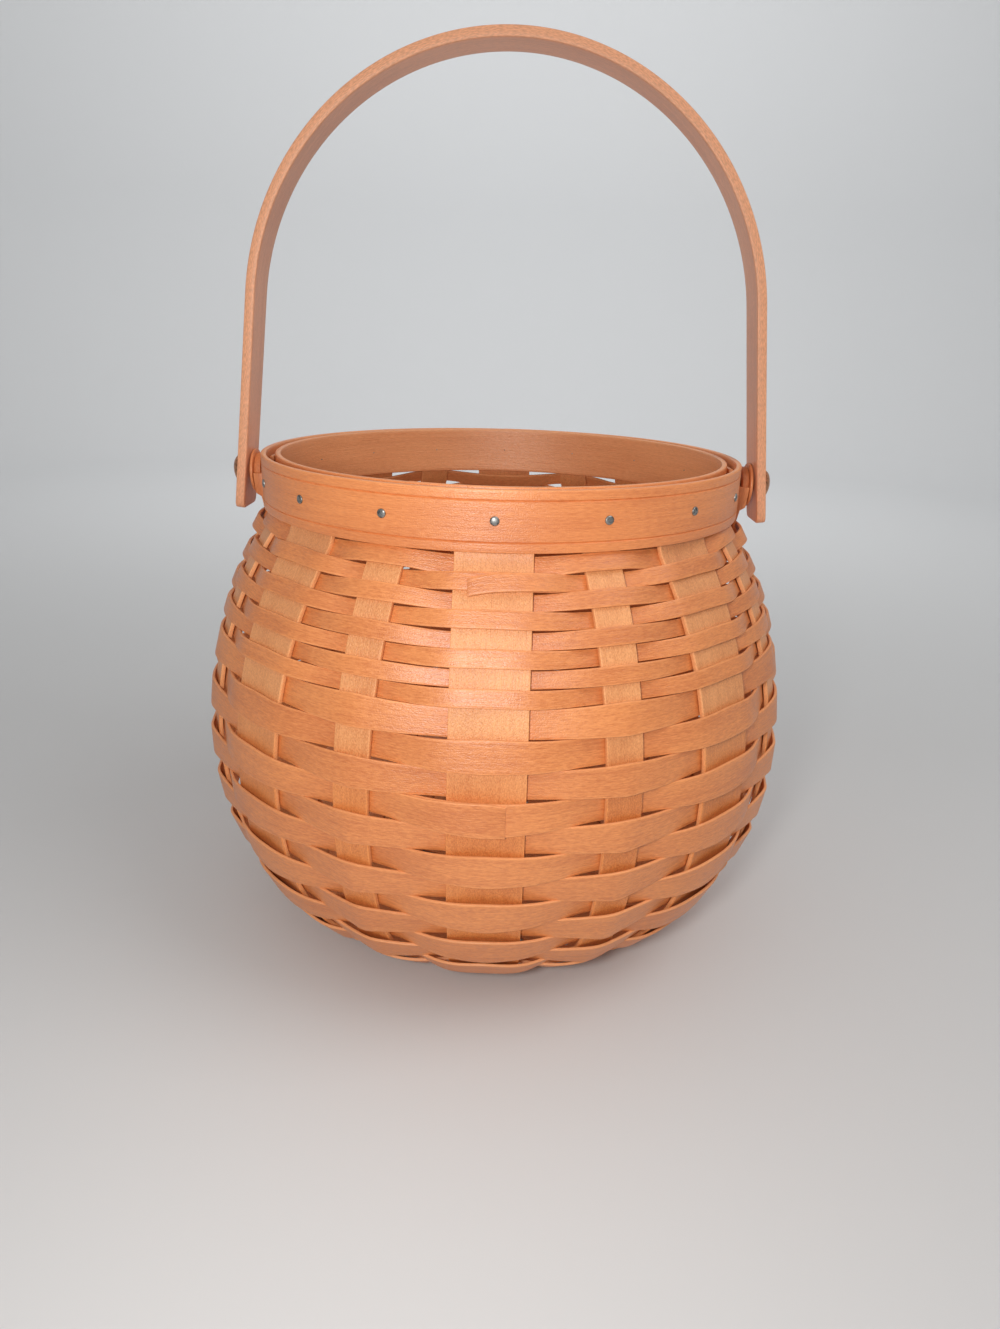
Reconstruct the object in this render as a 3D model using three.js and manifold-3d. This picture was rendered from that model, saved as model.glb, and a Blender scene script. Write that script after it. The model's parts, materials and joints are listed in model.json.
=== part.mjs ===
// Round-bellied splint basket with a swing handle, in millimetres, +Z up.
// The origin is under the middle of the base, the front is -Y and the handle turns about X.
import * as THREE from 'three';
import { mergeVertices } from 'three/addons/utils/BufferGeometryUtils.js';
import Module from 'manifold-3d';

const wasm = await Module();
wasm.setup();

// Body outline, followed by the middle of each upright splint. The neck's bend is a radius, and the
// others are how far the curves above and below the belly run on before they turn.
const BODY_HEIGHT = 193;
const RIM_RADIUS = 92.4;
const BELLY_RADIUS = 115;
const BELLY_HEIGHT = 88.5;
const NECK_DROP = 0.8;
const NECK_BEND = 8;
const SHOULDER_BEND = 28.7;
const FLANK_BEND = 56;
const BASE_BEND = 43.6;

// Upright splints: wide and narrow ones take turns round the body
const STAKE_COUNT = 16;
const STAKE_THICKNESS = 1.6;
const WIDE_STAKE = 25;
const NARROW_STAKE = 13;
const STAKE_TOP_DROP = 2.6;

// Middle of the base, where the splints cross
const WIDE_WAIST = 17;
const NARROW_WAIST = 9;
const WAIST_THICKNESS = 0.5;
const CROSSING_RADIUS = 33;
const BASE_RAMP = 9;
const TAPER_RADIUS = 60;

// Weaving rows
const WEAVER_THICKNESS = 1.05;
const NARROW_ROWS = 8;
const NARROW_PITCH = 6;
const NARROW_ROW_GAP = 0.8;
const WIDE_PITCH = 9.5;
const WIDE_ROW_GAP = 0.5;
const TOP_ROW_DROP = 0.5;
const ROW_LIFT = 0.4;
const BEND_REACH = 1;
const ROW_BULGE = 0.5;
const FRONT_LAP_ROWS = [2, 12];
const FRONT_LAP_ENDS = [7.8, 6.2];
const FRONT_LAP_WAYS = [-1, 1];
const BACK_LAP_PLACES = [3, 4];
const LAP_TIP_SHARE = 0.28;

// Rim bands
const BAND_HEIGHT = 19;
const BAND_THICKNESS = 2;
const BAND_STEPS = 40;
const BAND_LAP_ANGLE = 0.38;
const BAND_LAP_STEPS = 3;
const BAND_TIP = 0.35;
const OUTER_BAND_LAP_AT = 1.35;
const INNER_BAND_LAP_AT = -1.9;

// Tacks
const TACK_HEAD_RADIUS = 1.3;
const TACK_HEAD_HEIGHT = 0.7;
const TACK_HEAD_EDGE = [0.8, 0.6];
const TACK_SHANK_RADIUS = 0.5;
const TACK_POINT = 1.2;
const TACK_OUT = 0.6;
const TACK_SIDES = 6;
const EAR_TACK_RISE = 3.2;
const EAR_TACK_DEPTH = 1.6;

// Swing handle
const HANDLE_TOP = 333.5;
const HANDLE_WIDTH = 18;
const HANDLE_THICKNESS = 3.6;
const LEG_SPLAY = 0.12;
const HANDLE_ARC_STEPS = 18;
const LEG_BELOW_PIVOT = 14;
const LEG_CORNER = 3;
const PIVOT_DROP = 10;

// Ears, washers and rivets at the pivots
const EAR_ROW = 2;
const EAR_THICKNESS = 4.3;
const EAR_TAB_THICKNESS = 2.4;
const EAR_FACE_DROP = 4.2;
const EAR_WIDTH = 17;
const EAR_TAB_RADIUS = 7;
const EAR_TAIL_THICKNESS = 1.2;
const EAR_TAIL_WIDTH = 13;
const EAR_TAIL_TUCK = 1;
const EAR_ARC_STEPS = 5;
const WASHER_RADIUS = 8.4;
const WASHER_THICKNESS = 1.1;
const RIVET_RADIUS = 2.2;
const RIVET_HEAD_RADIUS = 6;
const RIVET_HEAD_HEIGHT = 3;
const RIVET_HEAD_PROFILE = [[1, 0], [0.8, 0.65], [0.4, 0.95]];
const BURR_RADIUS = 3.4;
const BURR_THICKNESS = 0.7;
const PEEN_HEIGHT = 0.4;
const ROUND_SIDES = 12;

// Space between pieces that touch
const FIT = 0.3;

// How far a cutter reaches past what it cuts, and how close points are to be one
const CUT_MARGIN = 1;
const SAME_POINT = 1e-4;

function finish(name, color, roughness, metalness) {
  return new THREE.MeshStandardMaterial({ name, color, roughness, metalness });
}

const WEAVER_WOOD = finish('maple_weaver', 0xd9915a, 0.45, 0);
const STAKE_WOOD = finish('maple_stake', 0xe0a070, 0.6, 0);
const BAND_WOOD = finish('maple_band', 0xdf9660, 0.42, 0);
const HANDLE_WOOD = finish('maple_handle', 0xe39c66, 0.42, 0);
const EAR_WOOD = finish('maple_ear', 0xdb9259, 0.5, 0);
const STEEL = finish('steel_tack', 0x9a9da0, 0.35, 1);
const COPPER = finish('copper_rivet', 0xb8704a, 0.35, 1);

const basket = new THREE.Group();

function addPiece(name, geometry, material) {
  const mesh = new THREE.Mesh(geometry, material);
  mesh.name = name;
  basket.add(mesh);
}

// Booleans on closed geometries
function toSolid(geometry) {
  const bare = geometry.clone();
  bare.deleteAttribute('normal');
  bare.deleteAttribute('uv');
  const merged = facingOut(mergeVertices(bare, SAME_POINT));
  return new wasm.Manifold(new wasm.Mesh({
    numProp: 3,
    vertProperties: new Float32Array(merged.attributes.position.array),
    triVerts: new Uint32Array(merged.index.array),
  }));
}

function toGeometry(solid) {
  const mesh = solid.getMesh();
  const geometry = new THREE.BufferGeometry();
  geometry.setAttribute('position', new THREE.BufferAttribute(new Float32Array(mesh.vertProperties), 3));
  geometry.setIndex(new THREE.BufferAttribute(new Uint32Array(mesh.triVerts), 1));
  return geometry;
}

function cutAll(geometry, cutters) {
  let solid = toSolid(geometry);
  for (const cutter of cutters) {
    solid = solid.subtract(toSolid(cutter));
  }
  return toGeometry(solid);
}

// Closed body through a row of sections, each the same number of points
function loft(sections) {
  const sides = sections[0].length;
  const positions = sections.flat().flatMap((p) => [p.x, p.y, p.z]);
  const index = [];
  for (let i = 0; i + 1 < sections.length; i += 1) {
    for (let j = 0; j < sides; j += 1) {
      const a = i * sides + j;
      const b = i * sides + (j + 1) % sides;
      index.push(a, b, a + sides, b, b + sides, a + sides);
    }
  }
  const last = (sections.length - 1) * sides;
  for (const [first, flip] of [[0, true], [last, false]]) {
    for (const [a, b, c] of capTriangles(sections[first / sides])) {
      index.push(first + a, first + (flip ? c : b), first + (flip ? b : c));
    }
  }
  const geometry = new THREE.BufferGeometry();
  geometry.setAttribute('position', new THREE.Float32BufferAttribute(positions, 3));
  geometry.setIndex(index);
  return facingOut(geometry);
}

function capTriangles(section) {
  const origin = section[0];
  const across = section[1].clone().sub(origin).normalize();
  const normal = new THREE.Vector3();
  for (let i = 1; i + 1 < section.length; i += 1) {
    const a = section[i].clone().sub(origin);
    const b = section[i + 1].clone().sub(origin);
    normal.add(a.cross(b));
  }
  const up = normal.normalize().clone().cross(across);
  const flat = section.map((p) => {
    const d = p.clone().sub(origin);
    return new THREE.Vector2(d.dot(across), d.dot(up));
  });
  return THREE.ShapeUtils.triangulateShape(flat, []);
}

function facingOut(geometry) {
  const p = geometry.attributes.position;
  const index = geometry.index.array;
  const corner = (i) => new THREE.Vector3().fromBufferAttribute(p, index[i]);
  let volume = 0;
  for (let i = 0; i < index.length; i += 3) {
    volume += corner(i).dot(corner(i + 1).cross(corner(i + 2)));
  }
  if (volume < 0) {
    for (let i = 0; i < index.length; i += 3) {
      [index[i + 1], index[i + 2]] = [index[i + 2], index[i + 1]];
    }
  }
  return geometry;
}

// Body outline in the plane of one upright splint: x is the radius, y the height
const halfStake = STAKE_THICKNESS / 2;
const bandTop = BODY_HEIGHT;
const bandBottom = bandTop - BAND_HEIGHT;
const bandInner = RIM_RADIUS - BAND_THICKNESS;
const bandFacet = bandInner * (1 - Math.cos(Math.PI / BAND_STEPS));
const stakeFaceAtRim = Math.sqrt((bandInner - bandFacet - FIT) ** 2 - (WIDE_STAKE / 2) ** 2);
const rimMiddle = stakeFaceAtRim - halfStake;

// The neck's arc turns as far as a round shoulder from the belly would meet it
const neckX = rimMiddle + NECK_BEND;
const neckZ = bandBottom - NECK_DROP;
const neckIn = BELLY_RADIUS - neckX;
const neckRise = neckZ - BELLY_HEIGHT;
const roundShoulder = (neckIn ** 2 + neckRise ** 2 - NECK_BEND ** 2) / (2 * (neckIn + NECK_BEND));
const neckTurn = Math.atan2(neckRise, roundShoulder - neckIn);
const neckEnd = new THREE.Vector2(Math.cos(neckTurn), Math.sin(neckTurn)).multiplyScalar(-NECK_BEND);
neckEnd.add(new THREE.Vector2(neckX, neckZ));

const flatRadius = CROSSING_RADIUS + BASE_RAMP;
const outline = new THREE.Path();
outline.moveTo(rimMiddle, bandTop);
outline.lineTo(rimMiddle, neckZ);
outline.absarc(neckX, neckZ, NECK_BEND, Math.PI, Math.PI + neckTurn, false);
outline.bezierCurveTo(
  neckEnd.x + SHOULDER_BEND * Math.sin(neckTurn),
  neckEnd.y - SHOULDER_BEND * Math.cos(neckTurn),
  BELLY_RADIUS,
  BELLY_HEIGHT + SHOULDER_BEND,
  BELLY_RADIUS,
  BELLY_HEIGHT,
);
outline.bezierCurveTo(
  BELLY_RADIUS,
  BELLY_HEIGHT - FLANK_BEND,
  flatRadius + BASE_BEND,
  halfStake,
  flatRadius,
  halfStake,
);
const outlineLength = outline.getLength();
const outlineAt = (along) => outline.getPoint(along / outlineLength);

// Row edges, measured along the outline from the rim down
const outsideMiddle = halfStake + FIT + WEAVER_THICKNESS / 2;
const outsideFace = outsideMiddle + WEAVER_THICKNESS / 2;
const lapStep = WEAVER_THICKNESS + FIT;
const topRowTilt = (outsideFace + ROW_BULGE) * Math.sin(neckTurn);
const rowsStart = BAND_HEIGHT + topRowTilt + TOP_ROW_DROP;
const wideStart = rowsStart + NARROW_ROWS * NARROW_PITCH;
const rowsEnd = lowestRowEnd();
const wideRows = Math.round((rowsEnd - wideStart) / WIDE_PITCH);
const widePitch = (rowsEnd - wideStart) / wideRows;
const rowEdges = [];
for (let i = 0; i <= NARROW_ROWS; i += 1) {
  rowEdges.push(rowsStart + i * NARROW_PITCH);
}
for (let i = 1; i <= wideRows; i += 1) {
  rowEdges.push(wideStart + i * widePitch);
}
const edgePoints = rowEdges.map(outlineAt);

// The rows end where the thickest lap would come down to its lift above the floor
function lowestRowEnd() {
  const reach = outsideFace + ROW_BULGE + lapStep;
  let above = wideStart;
  let below = outlineLength - BASE_RAMP;
  while (below - above > SAME_POINT) {
    const along = (above + below) / 2;
    const p = outlineAt(along);
    const down = outlineAt(along + SAME_POINT).sub(p).normalize();
    if (p.y + down.x * reach > ROW_LIFT) {
      above = along;
    } else {
      below = along;
    }
  }
  return above;
}

// A stake is flat behind each pair of narrow rows, so the edge between the two lies on its chord
const isPairMiddle = (edge) => edge < NARROW_ROWS && edge % 2 === 1;
edgePoints.forEach((point, edge) => {
  if (isPairMiddle(edge)) {
    point.lerpVectors(edgePoints[edge - 1], edgePoints[edge + 1], 0.5);
  }
});

// Stake width grows from the crossing to the side of the body. Outside the crossing a wide stake and
// its narrow neighbour are shaved alike where a weaver would not pass between them.
const stakeGap = 2 * BEND_REACH + FIT;

function stakeWidth(wide, radius) {
  const grown = THREE.MathUtils.clamp((radius - CROSSING_RADIUS) / (TAPER_RADIUS - CROSSING_RADIUS), 0, 1);
  const wideWidth = THREE.MathUtils.lerp(WIDE_WAIST, WIDE_STAKE, grown);
  const narrowWidth = THREE.MathUtils.lerp(NARROW_WAIST, NARROW_STAKE, grown);
  const room = 4 * radius * Math.tan(Math.PI / STAKE_COUNT) - 2 * stakeGap;
  const shaved = radius > CROSSING_RADIUS ? Math.min(1, room / (wideWidth + narrowWidth)) : 1;
  return shaved * (wide ? wideWidth : narrowWidth);
}

// Upright splints
const isWide = (stake) => stake % 2 === 0;
const stakeAngle = (stake) => (stake * 2 * Math.PI) / STAKE_COUNT;

// From the plane of a stake (across, out, up) to the body: stake 0 faces -Y, the next ones go towards +X
function place(stake, out, across, up) {
  const turn = stakeAngle(stake);
  const x = out * Math.sin(turn) + across * Math.cos(turn);
  const y = -out * Math.cos(turn) + across * Math.sin(turn);
  return new THREE.Vector3(x, y, up);
}

// Outwards direction at a point of a run, lengthened at a bend so that the thickness stays the same
function outwardsAt(run, i) {
  const { p, level } = run[i];
  if (level) {
    return new THREE.Vector2(0, -1);
  }
  const before = i === 0 ? null : p.clone().sub(run[i - 1].p).normalize();
  const after = run[i + 1].p.clone().sub(p).normalize();
  const first = before ?? after;
  const n1 = new THREE.Vector2(-first.y, first.x);
  const n2 = run[i + 1].level && before ? n1 : new THREE.Vector2(-after.y, after.x);
  const miter = n1.clone().add(n2).normalize();
  return miter.divideScalar(miter.dot(n1));
}

// Half a splint, from its top at the rim to the middle of the base
function halfSplint(layer) {
  const onBody = [outlineAt(STAKE_TOP_DROP), ...edgePoints.filter((_, edge) => !isPairMiddle(edge))];
  onBody.push(outlineAt((rowsEnd + outlineLength) / 2));
  const run = onBody.map((p) => ({ p, thickness: STAKE_THICKNESS, level: false }));
  run.push({ p: outlineAt(outlineLength), thickness: STAKE_THICKNESS, level: true });
  const layerHeight = WAIST_THICKNESS / 2 + layer * (WAIST_THICKNESS + FIT);
  run.push({ p: new THREE.Vector2(CROSSING_RADIUS, layerHeight), thickness: WAIST_THICKNESS, level: true });
  return run.map(({ p, thickness }, i) => ({ p, offset: outwardsAt(run, i).multiplyScalar(thickness / 2) }));
}

function splintSections(stake, layer) {
  const half = halfSplint(layer);
  const section = (side) => ({ p, offset }) => {
    const w = stakeWidth(isWide(stake), p.x) / 2;
    return [
      place(stake, side * (p.x - offset.x), -w, p.y - offset.y),
      place(stake, side * (p.x - offset.x), w, p.y - offset.y),
      place(stake, side * (p.x + offset.x), w, p.y + offset.y),
      place(stake, side * (p.x + offset.x), -w, p.y + offset.y),
    ];
  };
  return [...half.map(section(1)), ...half.map(section(-1)).reverse()];
}

// Weaving rows: odd rows run outside the narrow stakes, even rows outside the wide ones
const rowIsOutside = (row, stake) => (row % 2 === 0) === isWide(stake);

// A row laps on the front stake or on one of a few at the back in turn, always where it runs outside.
// A lap at the front may be laid the other way round the body.
function lapStake(row) {
  if (FRONT_LAP_ROWS.includes(row)) {
    return 0;
  }
  const places = BACK_LAP_PLACES[row % 2];
  return STAKE_COUNT / 2 - (places - 1) + 2 * (Math.floor(row / 2) % places);
}

const earStakes = [STAKE_COUNT / 4, (3 * STAKE_COUNT) / 4];

function rowSections(row) {
  const top = edgePoints[row - 1];
  const bottom = edgePoints[row];
  const middle = top.clone().add(bottom).multiplyScalar(0.5);
  const down = bottom.clone().sub(top);
  const gap = row <= NARROW_ROWS ? NARROW_ROW_GAP : WIDE_ROW_GAP;
  const width = down.length() - gap;
  down.normalize();
  const out = new THREE.Vector2(-down.y, down.x);
  const section = (stake, offset, across) => {
    const corner = (side, face) => {
      const p = middle.clone().addScaledVector(down, (side * width) / 2);
      p.addScaledVector(out, offset + (face * WEAVER_THICKNESS) / 2);
      return place(stake, p.x, across, p.y);
    };
    return [corner(-1, -1), corner(1, -1), corner(1, 1), corner(-1, 1)];
  };
  const sections = [];
  const frontLap = FRONT_LAP_ROWS.indexOf(row);
  const first = lapStake(row) - 1;
  const last = first + STAKE_COUNT + 1;
  for (let stake = first; stake <= last; stake += 1) {
    const outside = rowIsOutside(row, stake + STAKE_COUNT);
    const reach = stakeWidth(isWide(stake + STAKE_COUNT), middle.x) / 2 + BEND_REACH;
    let offset = outside ? outsideMiddle : -outsideMiddle;
    if (stake === first) {
      offset -= lapStep;
    }
    if (stake === last) {
      offset += lapStep;
    }
    if (row === EAR_ROW && earStakes.includes(stake % STAKE_COUNT)) {
      offset += EAR_TAIL_THICKNESS + FIT;
    }
    sections.push(section(stake, offset, -reach));
    if (outside) {
      sections.push(section(stake, offset + ROW_BULGE, 0));
    }
    const lapEnd = FRONT_LAP_ENDS[frontLap] ?? 2 * reach * LAP_TIP_SHARE;
    sections.push(section(stake, offset, stake === last ? lapEnd : reach));
  }
  const way = new THREE.Vector3(FRONT_LAP_WAYS[frontLap] ?? 1, 1, 1);
  sections.flat().forEach((p) => p.multiply(way));
  return sections;
}

// Rim bands: each is one strip whose tapered ends lap
function bandSections(inner, outer, lapAt) {
  const full = 2 * Math.PI;
  const slope = (outer - inner - BAND_TIP) / BAND_LAP_ANGLE;
  const reach = BAND_LAP_ANGLE - (FIT + BAND_TIP) / slope;
  const section = (angle, low, high) => {
    const turn = lapAt + angle;
    const corner = (r, z) => new THREE.Vector3(r * Math.cos(turn), r * Math.sin(turn), z);
    return [corner(low, bandBottom), corner(high, bandBottom), corner(high, bandTop), corner(low, bandTop)];
  };
  const sections = [];
  for (let i = 0; i < BAND_LAP_STEPS; i += 1) {
    const angle = (BAND_LAP_ANGLE * i) / BAND_LAP_STEPS;
    sections.push(section(angle, inner, inner + BAND_TIP + slope * angle));
  }
  for (let i = 0; i < BAND_STEPS; i += 1) {
    const angle = THREE.MathUtils.lerp(BAND_LAP_ANGLE, full, i / BAND_STEPS);
    sections.push(section(angle, inner, outer));
  }
  for (let i = 0; i <= BAND_LAP_STEPS; i += 1) {
    const past = (reach * i) / BAND_LAP_STEPS;
    sections.push(section(full + past, inner + BAND_TIP + FIT + slope * past, outer));
  }
  return sections;
}

const innerBandOuter = rimMiddle - halfStake - FIT;
const innerBandInner = innerBandOuter - BAND_THICKNESS;
const innerBandFacet = innerBandInner * (1 - Math.cos(Math.PI / BAND_STEPS));

// Round solids that point out of the body at a stake, from lathe profiles of [radius, distance outwards]
function turned(profile, sides, stake, height) {
  const points = profile.map(([r, out]) => new THREE.Vector2(r, out));
  const geometry = new THREE.LatheGeometry(points, sides);
  geometry.rotateX(Math.PI);
  geometry.rotateZ(stakeAngle(stake));
  geometry.translate(0, 0, height);
  return toGeometry(toSolid(geometry));
}

function bore(radius, from, to, sides, stake, height) {
  return turned([[0, from], [radius, from], [radius, to], [0, to]], sides, stake, height);
}

const tackHeight = bandBottom + BAND_HEIGHT / 2;
const earTackHeight = bandBottom + EAR_TACK_RISE;
const pivotHeight = BODY_HEIGHT - PIVOT_DROP;

// Distances outwards along X at the ears
const earInner = RIM_RADIUS + FIT;
const earOuter = earInner + EAR_THICKNESS;
const washerInner = earOuter + FIT;
const washerOuter = washerInner + WASHER_THICKNESS;

// Distances outwards of a tack's head, from the underside of the head, and of its point
const tackHeadBase = RIM_RADIUS + FIT / 2;
const tackPoint = innerBandInner - TACK_OUT;

function tack(stake) {
  return turned([
    [0, tackPoint],
    [TACK_SHANK_RADIUS, tackPoint + TACK_POINT],
    [TACK_SHANK_RADIUS, tackHeadBase],
    [TACK_HEAD_RADIUS, tackHeadBase],
    [TACK_HEAD_RADIUS * TACK_HEAD_EDGE[0], tackHeadBase + TACK_HEAD_HEIGHT * TACK_HEAD_EDGE[1]],
    [0, tackHeadBase + TACK_HEAD_HEIGHT],
  ], TACK_SIDES, stake, tackHeight);
}

// An ear's tack is driven from inside the basket, so its head is inside and its point in the ear
const earTackHeadBase = innerBandInner - innerBandFacet - FIT / 2;
const earTackPoint = earInner + EAR_TACK_DEPTH;

function earTack(stake) {
  return turned([
    [0, earTackHeadBase - TACK_HEAD_HEIGHT],
    [TACK_HEAD_RADIUS * TACK_HEAD_EDGE[0], earTackHeadBase - TACK_HEAD_HEIGHT * TACK_HEAD_EDGE[1]],
    [TACK_HEAD_RADIUS, earTackHeadBase],
    [TACK_SHANK_RADIUS, earTackHeadBase],
    [TACK_SHANK_RADIUS, earTackPoint - TACK_POINT],
    [0, earTackPoint],
  ], TACK_SIDES, stake, earTackHeight);
}

function tackHole(stake, height) {
  const radius = TACK_SHANK_RADIUS + FIT;
  return bore(radius, innerBandInner - CUT_MARGIN, earTackPoint + FIT, TACK_SIDES, stake, height);
}

const isEarStake = (stake) => earStakes.includes(stake);
const holeHeight = (stake) => (isEarStake(stake) ? earTackHeight : tackHeight);
const stakes = Array.from({ length: STAKE_COUNT }, (_, stake) => stake);
const rimHoles = stakes.map((stake) => tackHole(stake, holeHeight(stake)));

addPiece('outer_band', cutAll(
  loft(bandSections(bandInner, RIM_RADIUS, OUTER_BAND_LAP_AT)),
  rimHoles,
), BAND_WOOD);
addPiece('inner_band', cutAll(
  loft(bandSections(innerBandInner, innerBandOuter, INNER_BAND_LAP_AT)),
  rimHoles,
), BAND_WOOD);

// Base layers from the floor up: square wide cross, diagonal wide cross, then the narrow splints
const layerOrder = [4, 0, 2, 6, 1, 5, 3, 7];
layerOrder.forEach((stake, layer) => {
  const kind = isWide(stake) ? 'wide' : 'narrow';
  const holes = [stake, stake + STAKE_COUNT / 2].map((end) => tackHole(end, holeHeight(end)));
  addPiece(`${kind}_splint_${layer + 1}`, cutAll(loft(splintSections(stake, layer)), holes), STAKE_WOOD);
});

for (let row = 1; row < rowEdges.length; row += 1) {
  addPiece(`weaver_${String(row).padStart(2, '0')}`, loft(rowSections(row)), WEAVER_WOOD);
}

for (const stake of stakes) {
  if (!isEarStake(stake)) {
    addPiece(`tack_${String(stake + 1).padStart(2, '0')}`, tack(stake), STEEL);
  }
}

// Ear: side outline in the plane of its stake, [distance outwards, height]
function stakeFaceAt(edge, offset) {
  const p = edgePoints[edge];
  const above = edge === 0 ? outlineAt(STAKE_TOP_DROP) : edgePoints[edge - 1];
  const d1 = p.clone().sub(above).normalize();
  const d2 = edgePoints[edge + 1].clone().sub(p).normalize();
  const n1 = new THREE.Vector2(-d1.y, d1.x);
  const miter = n1.clone().add(new THREE.Vector2(-d2.y, d2.x)).normalize();
  return p.clone().addScaledVector(miter, offset / miter.dot(n1));
}

const tailInner = halfStake + FIT;
const tailOuter = tailInner + EAR_TAIL_THICKNESS;
const tailEdge = EAR_ROW;
const tailDown = edgePoints[tailEdge].clone().sub(edgePoints[tailEdge - 1]).normalize();

function tailEnd(offset) {
  return stakeFaceAt(tailEdge, offset).addScaledVector(tailDown, EAR_TAIL_TUCK - NARROW_ROW_GAP);
}

const tailStart = stakeFaceAt(EAR_ROW - 1, tailInner);
const tailStartOuter = stakeFaceAt(EAR_ROW - 1, tailOuter);
const tabTop = pivotHeight + EAR_TAB_RADIUS;
const earSide = new THREE.Shape();
earSide.moveTo(earOuter - EAR_TAB_THICKNESS, tabTop);
earSide.lineTo(earOuter - EAR_TAB_THICKNESS, pivotHeight);
earSide.lineTo(earInner, pivotHeight);
earSide.lineTo(earInner, bandBottom - FIT);
earSide.lineTo(tailStart.x, tailStart.y);
earSide.lineTo(tailEnd(tailInner).x, tailEnd(tailInner).y);
earSide.lineTo(tailEnd(tailOuter).x, tailEnd(tailOuter).y);
earSide.lineTo(tailStartOuter.x, tailStartOuter.y);
earSide.lineTo(earInner + EAR_TAIL_THICKNESS + FIT, bandBottom);
earSide.lineTo(earOuter, pivotHeight - EAR_FACE_DROP);
earSide.lineTo(earOuter, tabTop);
earSide.closePath();

// Ear: face outline, [across, height]
const earTailZ = tailEnd(tailInner).y - EAR_TAIL_THICKNESS - CUT_MARGIN;
const earFace = new THREE.Shape();
earFace.moveTo(-EAR_TAIL_WIDTH / 2, earTailZ);
earFace.lineTo(EAR_TAIL_WIDTH / 2, earTailZ);
earFace.lineTo(EAR_WIDTH / 2, bandBottom);
earFace.lineTo(EAR_WIDTH / 2, pivotHeight);
earFace.lineTo(EAR_TAB_RADIUS, pivotHeight);
earFace.absarc(0, pivotHeight, EAR_TAB_RADIUS, 0, Math.PI, false);
earFace.lineTo(-EAR_WIDTH / 2, pivotHeight);
earFace.lineTo(-EAR_WIDTH / 2, bandBottom);
earFace.closePath();

// An outline in a stake's own upright plane, pushed across it
function extrudedAcross(shape, width, stake) {
  const geometry = new THREE.ExtrudeGeometry(shape, { depth: width, bevelEnabled: false });
  geometry.translate(0, 0, -width / 2);
  geometry.rotateX(Math.PI / 2);
  geometry.rotateZ(stakeAngle(stake) - Math.PI / 2);
  return geometry;
}

// An outline in the face of a stake, pushed outwards
function extrudedOut(shape, from, to, stake) {
  const settings = { depth: to - from, bevelEnabled: false, curveSegments: EAR_ARC_STEPS };
  const geometry = new THREE.ExtrudeGeometry(shape, settings);
  geometry.rotateX(Math.PI / 2);
  geometry.translate(0, -from, 0);
  geometry.rotateZ(stakeAngle(stake));
  return geometry;
}

const recessOuter = earOuter - EAR_TAB_THICKNESS;
const burrOuter = recessOuter - FIT;
const burrInner = burrOuter - BURR_THICKNESS;

// A disc on the pivot axis, or what the rivet goes through there
function pivotBore(radius, from, to, stake) {
  return bore(radius, from, to, ROUND_SIDES, stake, pivotHeight);
}

function rivetHole(from, to, stake) {
  return pivotBore(RIVET_RADIUS + FIT, from - CUT_MARGIN, to + CUT_MARGIN, stake);
}

// Swing handle: a round arch whose legs run straight on and splay, seen from the front. The arch is as
// wide as leaves the legs just clear of the tops of the washers.
const halfHandle = HANDLE_THICKNESS / 2;
const legEnd = pivotHeight - LEG_BELOW_PIVOT;
const legSlope = Math.tan(LEG_SPLAY);
const legLength = 1 / Math.cos(LEG_SPLAY);
const washerTop = pivotHeight + WASHER_RADIUS;
const crestMiddle = HANDLE_TOP - halfHandle;
const clearOfWasher = washerOuter + FIT + halfHandle * legLength;
const archBend = (clearOfWasher - (crestMiddle - washerTop) * legSlope) / (legLength - legSlope);
const archCentre = crestMiddle - archBend;

// Distance outwards of a leg's face at a height, for the radius of the arch's own face
function legFace(radius, height) {
  return radius * legLength + (archCentre - height) * legSlope;
}

const archOuter = archBend + halfHandle;
const archInner = archBend - halfHandle;
const legReach = legFace(archOuter, legEnd) + CUT_MARGIN;
const arch = new THREE.Shape();
arch.moveTo(legFace(archInner, legEnd), legEnd);
arch.lineTo(legFace(archOuter, legEnd), legEnd);
arch.absarc(0, archCentre, archOuter, LEG_SPLAY, Math.PI - LEG_SPLAY, false);
arch.lineTo(-legFace(archOuter, legEnd), legEnd);
arch.lineTo(-legFace(archInner, legEnd), legEnd);
arch.absarc(0, archCentre, archInner, Math.PI - LEG_SPLAY, LEG_SPLAY, true);
arch.closePath();

const archSettings = { depth: HANDLE_WIDTH, bevelEnabled: false, curveSegments: HANDLE_ARC_STEPS };
const archSolid = new THREE.ExtrudeGeometry(arch, archSettings);
archSolid.translate(0, 0, -HANDLE_WIDTH / 2);
archSolid.rotateX(Math.PI / 2);

// Waste outside the round corners of the leg ends, [across, height], for both legs at once
function cornerWaste(stake) {
  const edge = HANDLE_WIDTH / 2;
  const waste = new THREE.Shape();
  waste.moveTo(edge + CUT_MARGIN, legEnd - CUT_MARGIN);
  waste.lineTo(edge + CUT_MARGIN, legEnd + LEG_CORNER);
  waste.lineTo(edge, legEnd + LEG_CORNER);
  waste.absarc(edge - LEG_CORNER, legEnd + LEG_CORNER, LEG_CORNER, 0, -Math.PI / 2, true);
  waste.lineTo(edge - LEG_CORNER, legEnd - CUT_MARGIN);
  waste.closePath();
  return extrudedOut(waste, -legReach, legReach, stake);
}

addPiece('handle', cutAll(archSolid, [
  ...earStakes.map(cornerWaste),
  ...earStakes.map((stake) => rivetHole(washerOuter, legReach, stake)),
]), HANDLE_WOOD);

// A rivet turns with the handle: its shank lies on the pivot axis and its head flat on the leg
const rivetHeadBase = legFace(archOuter, pivotHeight) + FIT * legLength;

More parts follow.
